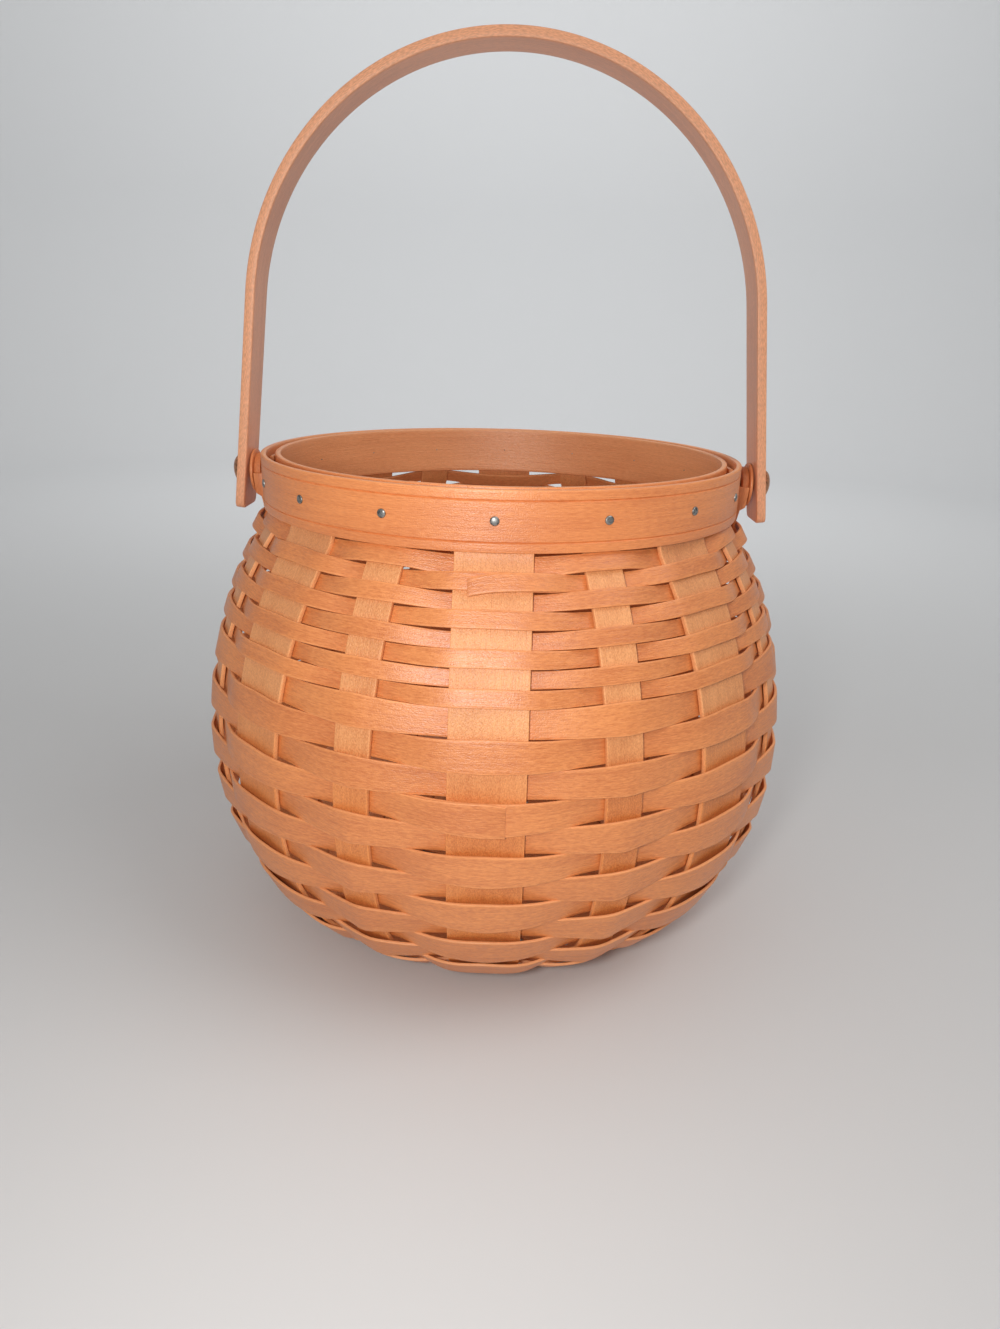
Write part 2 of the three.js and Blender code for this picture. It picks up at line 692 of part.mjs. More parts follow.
function rivet(stake) {
  const shank = turned([
    [0, burrInner - PEEN_HEIGHT],
    [RIVET_RADIUS, burrInner],
    [RIVET_RADIUS, rivetHeadBase + RIVET_HEAD_HEIGHT / 2],
    [0, rivetHeadBase + RIVET_HEAD_HEIGHT / 2],
  ], ROUND_SIDES, stake, pivotHeight);
  const dome = [[0, 0], ...RIVET_HEAD_PROFILE, [0, 1]];
  const head = turnedOnFace(
    dome.map(([r, out]) => [RIVET_HEAD_RADIUS * r, RIVET_HEAD_HEIGHT * out]),
    ROUND_SIDES,
    stake,
  );
  return toGeometry(toSolid(shank).add(toSolid(head)));
}

// A round solid that stands on the outer face of a leg, square to it
function turnedOnFace(profile, sides, stake) {
  const geometry = turned(profile, sides, 0, 0);
  geometry.rotateX(-LEG_SPLAY);
  geometry.translate(0, -rivetHeadBase, 0);
  geometry.rotateZ(stakeAngle(stake));
  geometry.translate(0, 0, pivotHeight);
  return geometry;
}

const SIDE_NAMES = ['right', 'left'];
earStakes.forEach((stake, i) => {
  const side = SIDE_NAMES[i];
  const slab = toSolid(extrudedAcross(earSide, EAR_WIDTH + 2 * CUT_MARGIN, stake));
  const face = toSolid(extrudedOut(earFace, rimMiddle, earOuter + CUT_MARGIN, stake));
  addPiece(`ear_${side}`, cutAll(toGeometry(slab.intersect(face)), [
    rivetHole(earInner, earOuter, stake),
    pivotBore(BURR_RADIUS + FIT, earInner - CUT_MARGIN, recessOuter, stake),
    tackHole(stake, earTackHeight),
  ]), EAR_WOOD);
  addPiece(`ear_tack_${side}`, earTack(stake), STEEL);
  addPiece(`washer_${side}`, cutAll(
    pivotBore(WASHER_RADIUS, washerInner, washerOuter, stake),
    [rivetHole(washerInner, washerOuter, stake)],
  ), EAR_WOOD);
  addPiece(`rivet_${side}`, rivet(stake), COPPER);
  addPiece(`burr_${side}`, cutAll(
    pivotBore(BURR_RADIUS, burrInner, burrOuter, stake),
    [rivetHole(burrInner, burrOuter, stake)],
  ), COPPER);
});

export default basket;
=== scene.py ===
"""Splint basket with a swing handle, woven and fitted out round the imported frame."""
import json
import math
from bisect import bisect_left, bisect_right
from collections import namedtuple

import bmesh
import bpy
from bpy.props import FloatProperty, FloatVectorProperty, IntProperty, PointerProperty
from bpy.types import Operator, Panel, PropertyGroup
from mathutils import Matrix, Vector, geometry, noise


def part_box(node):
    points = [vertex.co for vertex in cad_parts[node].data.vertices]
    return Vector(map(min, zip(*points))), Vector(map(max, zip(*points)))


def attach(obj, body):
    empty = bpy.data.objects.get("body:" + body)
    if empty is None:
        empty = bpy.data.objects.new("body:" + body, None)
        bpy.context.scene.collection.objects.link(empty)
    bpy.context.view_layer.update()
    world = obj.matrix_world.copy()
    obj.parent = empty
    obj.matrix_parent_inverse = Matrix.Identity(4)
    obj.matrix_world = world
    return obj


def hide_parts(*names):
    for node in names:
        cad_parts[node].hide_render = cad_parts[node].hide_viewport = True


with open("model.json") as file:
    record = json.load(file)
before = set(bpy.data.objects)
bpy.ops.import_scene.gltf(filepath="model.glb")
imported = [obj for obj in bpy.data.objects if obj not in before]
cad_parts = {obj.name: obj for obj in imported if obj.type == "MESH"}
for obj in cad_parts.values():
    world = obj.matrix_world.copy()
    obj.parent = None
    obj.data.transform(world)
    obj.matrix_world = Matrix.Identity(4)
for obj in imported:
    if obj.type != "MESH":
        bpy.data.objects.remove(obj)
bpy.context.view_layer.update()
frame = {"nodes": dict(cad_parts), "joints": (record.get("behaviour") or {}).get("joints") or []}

bl_info = {
    "name": "Splint basket",
    "version": (1, 0, 0),
    "blender": (4, 5, 0),
    "location": "3D View > Sidebar > Basket",
    "description": "Weaves and fits out a splint basket round its packed frame",
    "category": "Object",
}

BAND_LOW, BAND_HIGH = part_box("outer_band")
HANDLE_LOW, HANDLE_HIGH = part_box("handle")
PIVOT_HEIGHT = frame["joints"][0]["pos_m"][2]
UP = Vector((0, 0, 1))
# Distances below which two places count as one
NEAR = 1e-6
VERY_NEAR = 1e-7


def metres(name, default, description):
    """A length property."""
    return FloatProperty(name=name, description=description, default=default, min=0,
                         unit="LENGTH", precision=5)


def radians(name, default, description):
    """An angle property."""
    return FloatProperty(name=name, description=description, default=default, subtype="ANGLE")


def number(name, default, description):
    """A property without a unit."""
    return FloatProperty(name=name, description=description, default=default, min=0)


def colour(name, default, description):
    """A colour property, in linear values."""
    return FloatVectorProperty(name=name, description=description, default=default, size=3,
                               subtype="COLOR", min=0, max=1)


class BodySizes(PropertyGroup):
    """Outline of the body, along the middle of a stake"""
    height: metres("Height", BAND_HIGH.z, "Height without the handle")
    rim_middle: metres("Rim radius", 0.0881405, "Radius behind the band")
    belly_radius: metres("Belly radius", 0.115, "Largest radius")
    belly_height: metres("Belly height", 0.0885, "Height of the largest radius")
    neck_drop: metres("Neck drop", 0.0008, "Its start below the band")
    neck_bend: metres("Neck bend", 0.008, "Bend radius of the neck")
    shoulder_bend: metres("Shoulder bend", 0.0287, "Pull of the shoulder's curve")
    flank_bend: metres("Flank bend", 0.056, "Pull of the curve under the belly")
    base_bend: metres("Base bend", 0.0436, "Pull of the curve at the base")
    crossing: metres("Crossing radius", 0.033, "Radius in which the stakes cross")
    ramp: metres("Base ramp", 0.009, "Length over which a stake thins")


class StakeSizes(PropertyGroup):
    """Upright splints"""
    count: IntProperty(name="Stakes", description="Number of upright ends", default=16, min=4)
    thickness: metres("Thickness", 0.0016, "Thickness of a stake")
    wide: metres("Wide stake", 0.025, "Width of a wide stake")
    narrow: metres("Narrow stake", 0.013, "Width of a narrow stake")
    wide_waist: metres("Wide waist", 0.017, "Its width at the crossing")
    narrow_waist: metres("Narrow waist", 0.009, "Its width at the crossing")
    waist_thickness: metres("Waist thickness", 0.0005, "Thickness at the crossing")
    taper_radius: metres("Taper radius", 0.06, "Radius of its full width")
    top_drop: metres("Top drop", 0.0026, "Its end below the rim")
    edge: metres("Edge", 0.0003, "Rounding of the edges")
    gap: metres("Gap", 0.0003, "Space between pieces")


class WeaverSizes(PropertyGroup):
    """Weaving rows"""
    thickness: metres("Thickness", 0.00105, "Thickness of a weaver")
    narrow_rows: IntProperty(name="Narrow rows", description="Rows at the top", default=8, min=0)
    narrow_pitch: metres("Narrow pitch", 0.006, "Height of a narrow row")
    wide_pitch: metres("Wide pitch", 0.0095, "Height of a wide row")
    row_gap: metres("Row gap", 0.0004, "Gap between rows")
    top_drop: metres("Top drop", 0.0005, "Gap between the band and the top row")
    lift: metres("Lift", 0.0004, "Space under the lowest row")
    reach: metres("Bend reach", 0.001, "Flat stretch past a stake's edge")
    bulge: metres("Bulge", 0.0005, "Room for rows that bow out")
    tail: metres("Tail room", 0.0015, "Room for an ear's tail")
    edge: metres("Edge", 0.00022, "Rounding of the edges")
    wander: metres("Wander", 0.00022, "How far a row strays")


class BandSizes(PropertyGroup):
    """Rim bands"""
    thickness: metres("Thickness", 0.002, "Thickness of a band")
    tip: metres("Tip", 0.00035, "Thickness of a band's tapered end")
    lap_angle: radians("Lap", 0.38, "Angle of a band's lap")
    outer_lap: radians("Outer lap", 1.35, "Place of the outer band's lap")
    inner_lap: radians("Inner lap", -1.9, "Place of the inner band's lap")
    groove_inset: metres("Groove inset", 0.0033, "Its distance from the band's edge")
    groove_width: metres("Groove width", 0.0007, "Width of a groove")
    groove_depth: metres("Groove depth", 0.0004, "Depth of a groove")
    overhang: metres("Overhang", 0.0005, "How far it covers the top row")
    edge: metres("Edge", 0.0005, "Rounding of the edges")


class HandleSizes(PropertyGroup):
    """Swing handle"""
    width: metres("Width", HANDLE_HIGH.y - HANDLE_LOW.y, "Width of the handle")
    thickness: metres("Thickness", 0.0036, "Thickness of the handle")
    splay: radians("Splay", 0.12, "Lean of the legs")
    corner: metres("Corner", 0.003, "Radius of a leg's corners")
    edge: metres("Edge", 0.0007, "Rounding of the edges")


class FittingSizes(PropertyGroup):
    """Ears, washers, rivets and tacks"""
    ear_edge: metres("Ear edge", 0.0004, "Rounding of an ear's edges")
    ear_face: metres("Ear face", 0.0042, "Where an ear's flat face ends")
    ear_low: metres("Ear low", 0.0035, "How much further it stays thick")
    ear_draft: metres("Ear draft", 0.0007, "How much it thins over that")
    washer_radius: metres("Washer radius", 0.0084, "Radius of the wooden washers")
    washer_edge: metres("Washer edge", 0.0004, "Rounding of a washer")
    rivet_radius: metres("Rivet radius", 0.0022, "Radius of a rivet's shank")
    rivet_head: metres("Rivet head", 0.006, "Radius of a rivet's head")
    rivet_rise: metres("Rivet rise", 0.003, "Height of a rivet's head")
    rivet_gap: metres("Rivet gap", 0.0001, "Space under a rivet's head")
    burr_radius: metres("Burr radius", 0.0034, "Radius of a burr")
    tack_head: metres("Tack head", 0.0015, "Radius of a tack's head")
    tack_rise: metres("Tack rise", 0.0007, "Height of a tack's head")
    tack_shank: metres("Tack shank", 0.0005, "Radius of a tack's shank")
    ear_tack_rise: metres("Ear tack rise", 0.0032, "Its height above the band's edge")


class FinishColours(PropertyGroup):
    """Wood and metal colours"""
    weaver: colour("Weavers", (0.745, 0.219, 0.053), "Smooth oiled splint")
    stake: colour("Stakes", (0.73, 0.219, 0.052), "Rougher splint")
    # Paler tone for the upper ends of the stakes: a painted highlight
    stake_top: colour("Stake ends", (0.83, 0.334, 0.118), "Upper ends of the stakes")
    band: colour("Bands", (0.82, 0.245, 0.064), "Bent rim bands")
    handle: colour("Handle", (0.76, 0.265, 0.095), "Bent handle")
    ear: colour("Ears", (0.72, 0.225, 0.072), "Ears and washers")
    cut: colour("Cut edges", (0.80, 0.375, 0.205), "Sawn edges of the handle")
    steel: colour("Tacks", (0.36, 0.36, 0.35), "Dull steel")
    copper: colour("Rivets", (0.74, 0.36, 0.20), "Copper")


SENSOR_WIDTH = 36  # mm


class StageSizes(PropertyGroup):
    """Floor, lights and camera"""
    floor: colour("Floor", (0.68, 0.69, 0.70), "Pale floor and backdrop")
    floor_radius: metres("Floor radius", 1.4, "Radius of the floor")
    wall_height: metres("Wall height", 1.6, "Height of the backdrop")
    key: number("Key light", 0.66, "Power in watts")
    fill: number("Fill light", 3.6, "Power in watts")
    wall: number("Wall light", 8.0, "Power in watts")
    sky: number("Sky", 0.50, "Strength of the world")
    distance: metres("Camera distance", 0.363, "Its distance from the axis")
    camera_height: metres("Camera height", 0.2369, "Its height")
    pitch: radians("Pitch", math.radians(20.2), "Downward tilt")
    azimuth: radians("Azimuth", math.radians(0.7), "Turn round the basket")
    sideways: metres("Sideways", 0.0017, "How far it stands to the right")
    roll: radians("Roll", math.radians(1.6), "Turn of the picture")
    lens: number("Lens", SENSOR_WIDTH * 900 / 1329, "Focal length in mm")


class BasketSettings(PropertyGroup):
    """All sizes and colours of the basket"""
    body: PointerProperty(type=BodySizes)
    stake: PointerProperty(type=StakeSizes)
    weaver: PointerProperty(type=WeaverSizes)
    band: PointerProperty(type=BandSizes)
    handle: PointerProperty(type=HandleSizes)
    fitting: PointerProperty(type=FittingSizes)
    finish: PointerProperty(type=FinishColours)
    stage: PointerProperty(type=StageSizes)


def settings():
    """The scene's basket settings."""
    return bpy.context.scene.basket


# Shader maths

def fill_sockets(tree, node, values):
    """Links each value that comes from a node, and sets the others."""
    for key, value in values.items():
        if isinstance(value, Sock):
            value = value.value
        if isinstance(value, bpy.types.NodeSocket):
            tree.links.new(value, node.inputs[key])
        else:
            node.inputs[key].default_value = value


class Sock:
    """A node socket, or a number, that Python's operators turn into Math nodes."""

    def __init__(self, tree, value):
        self.tree = tree
        self.value = value

    def node(self, kind, options, values, out=0):
        """One output of a new node, from its options and its sockets' values."""
        node = self.tree.nodes.new(kind)
        for key, value in options.items():
            setattr(node, key, value)
        fill_sockets(self.tree, node, values)
        return Sock(self.tree, node.outputs[out])

    def maths(self, operation, other):
        """A Math node on two values."""
        return self.node("ShaderNodeMath", {"operation": operation}, {0: self, 1: other})

    def __add__(self, other):
        return self.maths("ADD", other)

    def __sub__(self, other):
        return self.maths("SUBTRACT", other)

    def __rsub__(self, other):
        return Sock(self.tree, other).maths("SUBTRACT", self)

    def __mul__(self, other):
        return self.maths("MULTIPLY", other)

    __radd__ = __add__
    __rmul__ = __mul__

    def above(self, low, high):
        """0 below low and 1 above high, with a smooth step between."""
        options = {"interpolation_type": "SMOOTHSTEP", "clamp": True}
        values = {"Value": self, "From Min": low, "From Max": high}
        return self.node("ShaderNodeMapRange", options, values)

    def depth(self):
        """The third part of this vector."""
        return self.node("ShaderNodeSeparateXYZ", {}, {"Vector": self}, out=2)

    def noise(self, scales, detail, roughness=0.55, distortion=0.0):
        """Noise at this vector, with each of its parts scaled."""
        spot = self.node("ShaderNodeVectorMath", {"operation": "MULTIPLY"}, {0: self, 1: scales})
        values = {"Vector": spot, "Scale": 1.0, "Detail": detail, "Roughness": roughness,
                  "Distortion": distortion}
        return self.node("ShaderNodeTexNoise", {}, values)

    def bumped(self, strength, distance):
        """A normal from this height."""
        values = {"Height": self, "Strength": strength, "Distance": distance}
        return self.node("ShaderNodeBump", {}, values)

    def mixed(self, first, second):
        """A colour from first to second by this factor."""
        options = {"data_type": "RGBA", "blend_type": "MIX", "clamp_factor": True}
        return self.node("ShaderNodeMix", options, {0: self, 6: first, 7: second}, out=2)

    def toned(self, tone, dark, pale):
        """A tone, from a darker to a paler version, by this factor."""
        return self.mixed(tinted(tone, dark), tinted(tone, pale))


def tinted(tone, shares):
    """A colour with each part scaled by its share."""
    return tuple(min(1.0, c * s) for c, s in zip(tone, shares)) + (1.0,)


def new_material(name):
    """A material, its tree and its shader."""
    material = bpy.data.materials.new(name)
    material.use_nodes = True
    tree = material.node_tree
    return material, tree, tree.nodes["Principled BSDF"]


def attribute(tree, name, out):
    """An attribute of the piece, as a vector (out=1) or a value (out=2)."""
    return Sock(tree, None).node("ShaderNodeAttribute", {"attribute_name": name}, {}, out)


# Marks in the grain: how often they repeat in a metre along, across and through a strip
CLOUDS = (14, 45, 45)
LONG_STREAKS = (22, 700, 700)
FINE_STREAKS = (60, 2600, 2600)
PORES_ALONG, PORES_ACROSS = 2600, 3000
GRIT = (2000, 3200, 3200)
MEAN = 0.5
CLOUD_SHARE = 0.6
# Metres between which an edge's wear and painted highlight, an inner face and the painted highlight
# at a stake's ends fade out
WORN_AND_LIT_EDGE = (0.0, 0.0007)
INNER_FACE = (0.0003, 0.0006)
END_HIGHLIGHT_FADE = (0.070, 0.105)
# Distance from an edge given to solid pieces, past any edge wear and painted edge highlight
FAR_FROM_EDGE = 0.001
# Factors on a tone where the grain is dark and where it is pale
FACE_TONES = ((0.72, 0.62, 0.56), (1.20, 1.46, 1.69))
# Factors on the painted highlight tone of the stakes' upper ends
END_HIGHLIGHT_TONES = ((0.76, 0.68, 0.62), (1.18, 1.38, 1.55))
INNER_TONES = ((0.80, 0.74, 0.70), (1.15, 1.28, 1.36))
SAWN_TONES = ((0.8,) * 3, (1.2,) * 3)
# Factors that give the paler tone of a strip's inner face
INSIDE = (1.07, 1.42, 2.20)
RING_TONE = (0.62, 0.46, 0.36)
RING_STREAKS = (0.60, 0.72)
RING_SHARE = 0.35
SAWN_CONTRAST = 1.6
# What a worn edge adds to lightness, partly wear and partly a painted highlight, and to roughness,
# and pores to roughness
WORN_AND_LIT_EDGE_LIGHT, WORN_ROUGH, PORE_ROUGH = 0.22, 0.12, 0.30
# Shares of fine streaks, pores and grit in the bump, and its depth
STREAK_BUMP, PORE_BUMP, GRIT_BUMP = 0.35, 0.25, 0.4
BUMP_DEPTH = 0.0002
WOOD_IOR = 1.48
COAT_ROUGHNESS = 0.30

# Contrast of streaks and of pores, roughness, bump, length of a pore against its width, coat,
# shine, and the factors of the inner face
Wood = namedtuple("Wood", "streak speckle roughness bump flecks coat shine inside")
WOODS = {
    "weaver": Wood(0.50, 0.80, 0.42, 1.4, 5.0, 0.10, 0.9, INSIDE),
    "stake": Wood(0.40, 0.95, 0.45, 1.6, 1.6, 0.0, 0.8, INSIDE),
    "band": Wood(0.50, 0.60, 0.42, 1.6, 7.0, 0.12, 1.0, INSIDE),
    "handle": Wood(0.50, 0.90, 0.45, 0.50, 4.0, 0.10, 0.5, INSIDE),
    "ear": Wood(0.50, 0.70, 0.45, 0.35, 6.0, 0.10, 0.5, None),
}


def wood(name, tone, look, cut, ends):
    """Oiled wood whose grain runs along its piece.

    cut is the tone of sawn edges, and ends a paler tone painted at a strip's ends as a highlight,
    or None.
    """
    material, tree, shader = new_material(name)
    grain = attribute(tree, "grain", 1)
    cloud = grain.noise(CLOUDS, 2.0)
    long_streaks = grain.noise(LONG_STREAKS, 4.0, 0.6, 0.4)
    fine_streaks = grain.noise(FINE_STREAKS, 2.0)
    pores = grain.noise((PORES_ALONG / look.flecks, PORES_ACROSS, PORES_ACROSS), 1.0)
    grit = grain.noise(GRIT, 1.0)
    # Mask of a piece's edges: their paleness is partly wear and partly a painted highlight where
    # light catches them; on the handle it also marks the sawn edges
    worn_and_lit_edge = 1 - attribute(tree, "rim", 2).above(*WORN_AND_LIT_EDGE)

    light = (long_streaks - MEAN) * look.streak + (fine_streaks - MEAN) * (look.streak / 2)
    light = light + (pores - MEAN) * look.speckle + (cloud - MEAN) * CLOUD_SHARE
    # Edges turn paler, partly as wear and partly as a painted highlight
    light = (light + worn_and_lit_edge * WORN_AND_LIT_EDGE_LIGHT + MEAN).above(0.0, 1.0)
    base = light.toned(tone, *FACE_TONES)
    # Painted highlight: the upper ends of the stakes turn paler
    if ends:
        end_highlight_mask = 1 - attribute(tree, "tip", 2).above(*END_HIGHLIGHT_FADE)
        base = end_highlight_mask.mixed(base, light.toned(ends, *END_HIGHLIGHT_TONES))
    if look.inside:
        inner_base = light.toned(tinted(tone, look.inside), *INNER_TONES)
        base = grain.depth().above(*INNER_FACE).mixed(inner_base, base)
    rings = long_streaks.above(*RING_STREAKS) * RING_SHARE
    base = rings.mixed(base, tinted(tone, RING_TONE))
    if cut:
        sawn = ((pores - MEAN) * SAWN_CONTRAST + MEAN).above(0.0, 1.0)
        base = worn_and_lit_edge.mixed(base, sawn.toned(cut, *SAWN_TONES))

    height = fine_streaks * STREAK_BUMP + pores * PORE_BUMP + grit * GRIT_BUMP
    fill_sockets(tree, shader, {
        "Base Color": base,
        "Roughness": (pores - MEAN) * PORE_ROUGH + worn_and_lit_edge * WORN_ROUGH + look.roughness,
        "Normal": height.bumped(look.bump, BUMP_DEPTH),
        "IOR": WOOD_IOR,
        "Specular IOR Level": look.shine,
        "Coat Weight": look.coat,
        "Coat Roughness": COAT_ROUGHNESS,
    })
    return material


# Tarnish: how often blotches and scratches repeat, and the noise between which it spreads
BLOTCHES = (900, 900, 900)
SCRATCHES = (4000, 900, 900)
TARNISH_EDGE = (0.42, 0.68)
TARNISH_ROUGH = 0.25
SCRATCH_BUMP, SCRATCH_DEPTH = 0.25, 0.0001
# Roughness of each metal, and the share of its tone that tarnish leaves
METALS = {"steel": (0.30, 0.40), "copper": (0.22, 0.50)}


def metal(name, tone, roughness, tarnish):
    """Hammered metal with a little tarnish."""
    material, tree, shader = new_material(name)
    grain = attribute(tree, "grain", 1)
    blotches = grain.noise(BLOTCHES, 3.0)
    fill_sockets(tree, shader, {
        "Base Color": blotches.above(*TARNISH_EDGE).toned(tone, (1, 1, 1), (tarnish,) * 3),
        "Roughness": blotches * TARNISH_ROUGH + roughness,
        "Normal": grain.noise(SCRATCHES, 2.0).bumped(SCRATCH_BUMP, SCRATCH_DEPTH),
        "Metallic": 1.0,
    })
    return material


def finish_of(kind):
    """The material of a kind of piece, made once."""
    name = f"{kind}_finish"
    if name in bpy.data.materials:
        return bpy.data.materials[name]
    tones = settings().finish
    tone = getattr(tones, kind)
    if kind in METALS:
        return metal(name, tone, *METALS[kind])
    return wood(name, tone, WOODS[kind], cut=tones.cut if kind == "handle" else None,
                ends=tones.stake_top if kind == "stake" else None)


# Strips made flat, then wrapped along a ribbon

# Cells across a strip, width of the narrow ones at its edges, and length of a cell
Cells = namedtuple("Cells", "across shoulder along")
WEAVER_CELLS = Cells(3, 0.0008, 0.0022)
STAKE_CELLS = Cells(4, 0.0008, 0.003)
BAND_CELLS = Cells(4, 0.0012, 0.0025)
HANDLE_CELLS = Cells(6, 0.0016, 0.002)
# Where the first piece's grain starts, and how far the next one's is along and aside
WEAVER_GRAIN = (0, 1.7, 0.31)
STAKE_GRAIN = (60, 2.3, 0.47)
BAND_GRAIN = (90, 100, 1)
TACK_GRAIN = (0, 0.1, 0)
HANDLE_GRAIN = Vector((130, 3, 0))
EAR_GRAIN = Vector((170, 0.3, 0))
# Turns of two faces: edges to round on strip and ear, smooth shading, one flat face
STRIP_EDGE, EAR_EDGE = math.radians(60), math.radians(35)
SMOOTH_BELOW, FLAT_BELOW = math.radians(40), math.radians(1)
# Share of a strip's thickness above which its outer face is
OUTER_FACE = 0.45


def distances(points):
    """Distance of each point of a line from its start."""
    along = [0.0]
    for a, b in zip(points, points[1:]):
        along.append(along[-1] + (b - a).length)
    return along


def span_at(along, distance):
    """The span of a line in which a distance falls, and the share before it."""
    i = min(max(bisect_right(along, distance) - 1, 0), len(along) - 2)
    return i, (distance - along[i]) / (along[i + 1] - along[i])


def grain_shift(piece, start, along, aside):
    """How far a numbered piece's grain is moved."""
    return Vector((start + piece * along, piece * aside, 0))


class Ribbon:
    """A line through space, with directions across and out of it."""

    def __init__(self, places):
        """places: (centre, across, out, width share, thickness share)."""
        self.places = places
        self.along = distances([centre for centre, *_ in places])
        self.length = self.along[-1]

    def at(self, distance):
        """The place at a distance along the ribbon."""
        i, share = span_at(self.along, distance)
        a, b = self.places[i], self.places[i + 1]
        across = a[1].lerp(b[1], share).normalized()
        out = a[2].lerp(b[2], share)
        out = (out - across * out.dot(across)).normalized()
        return (a[0].lerp(b[0], share), across, out,
                a[3] + (b[3] - a[3]) * share, a[4] + (b[4] - a[4]) * share)


def strip_stations(width, cells):
    """Places across a strip: even cells between two narrow ones at the edges."""
    half = width / 2
    flat = half - cells.shoulder
    middle = [-flat + 2 * flat * i / cells.across for i in range(cells.across + 1)]
    return [-half, *middle, half]


def rounded(bm, angle, edge):
    """Rounds the edges at which two faces turn by more than an angle."""
    sharp = [e for e in bm.edges if e.is_manifold and e.calc_face_angle(0) > angle]
    bmesh.ops.bevel(bm, geom=sharp, offset=edge, offset_type="OFFSET", segments=2, profile=0.5,
                    affect="EDGES", material=-1, clamp_overlap=True)


def flat_strip(run, stations, sizes, cells):
    """A flat strip with rounded edges: x along, y across at the stations, z through."""
    bm = bmesh.new()
    across = len(stations) - 1
    bmesh.ops.create_grid(bm, x_segments=max(2, round(run / cells.along)), y_segments=across,
                          size=0.5)
    for v in bm.verts:
        y = stations[round((v.co.y + 0.5) * across)]
        v.co = Vector(((v.co.x + 0.5) * run, y, sizes.thickness / 2))
    bmesh.ops.solidify(bm, geom=bm.faces[:], thickness=sizes.thickness)
    bmesh.ops.recalc_face_normals(bm, faces=bm.faces[:])
    rounded(bm, STRIP_EDGE, sizes.edge)
    return bm


def bent_strip(ribbon, width, sizes, cells, shift, stations=(), grooves=(), corner=0.0):
    """A strip along a ribbon, with grooves in its outer face and round corners.

    It keeps its flat place, moved by shift, as its grain, and its distances from edges and ends.
    """
    run, half = ribbon.length, width / 2
    bm = flat_strip(run, stations or strip_stations(width, cells), sizes, cells)
    grain = bm.verts.layers.float_vector.new("grain")
    rim = bm.verts.layers.float.new("rim")
    tip = bm.verts.layers.float.new("tip")
    for v in bm.verts:
        outer = v.co.z > sizes.thickness * OUTER_FACE
        if outer and any(abs(v.co.y - groove) < NEAR for groove in grooves):
            v.co.z -= sizes.groove_depth
        v[grain] = v.co + shift
        v[rim] = half - abs(v.co.y)
        v[tip] = min(v.co.x, run - v.co.x)
        gap = corner - v[tip]
        if gap > 0:
            v.co.y *= (half - corner + math.sqrt(max(corner ** 2 - gap ** 2, 0))) / half
        centre, across, out, wide, thick = ribbon.at(v.co.x)
        v.co = centre + across * (v.co.y * wide) + out * (v.co.z * thick)
    bmesh.ops.recalc_face_normals(bm, faces=bm.faces[:])
    return bm


def note_solid_grain(bm, axes, shift):
    """Keeps each point's place, with its axes in an order, as its grain."""
    grain = bm.verts.layers.float_vector.new("grain")
    rim = bm.verts.layers.float.new("rim")
    for v in bm.verts:
        v[grain] = getattr(v.co, axes) + shift
        v[rim] = FAR_FROM_EDGE


def add_object(name, data):
    """An object of the scene that shows some data."""
    thing = bpy.data.objects.new(name, data)
    bpy.context.scene.collection.objects.link(thing)
    return thing


def add_mesh(bm, name, material):
    """An object with a smooth mesh and one material."""
    mesh = bpy.data.meshes.new(name)
    bm.to_mesh(mesh)
    bm.free()
    mesh.shade_smooth()
    mesh.materials.append(material)
    return add_object(name, mesh)


def add_piece(bm, name, node, kind, body="basket"):
    """Makes a finished piece on a body, in place of a node."""
    piece = add_mesh(bm, name, finish_of(kind))
    piece.data.set_sharp_from_angle(angle=SMOOTH_BELOW)
    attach(piece, body)
    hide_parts(node)


# Body outline and rows

NECK_STEPS = 12
CURVE_STEPS = 80
SLOPE_REACH = 0.0005


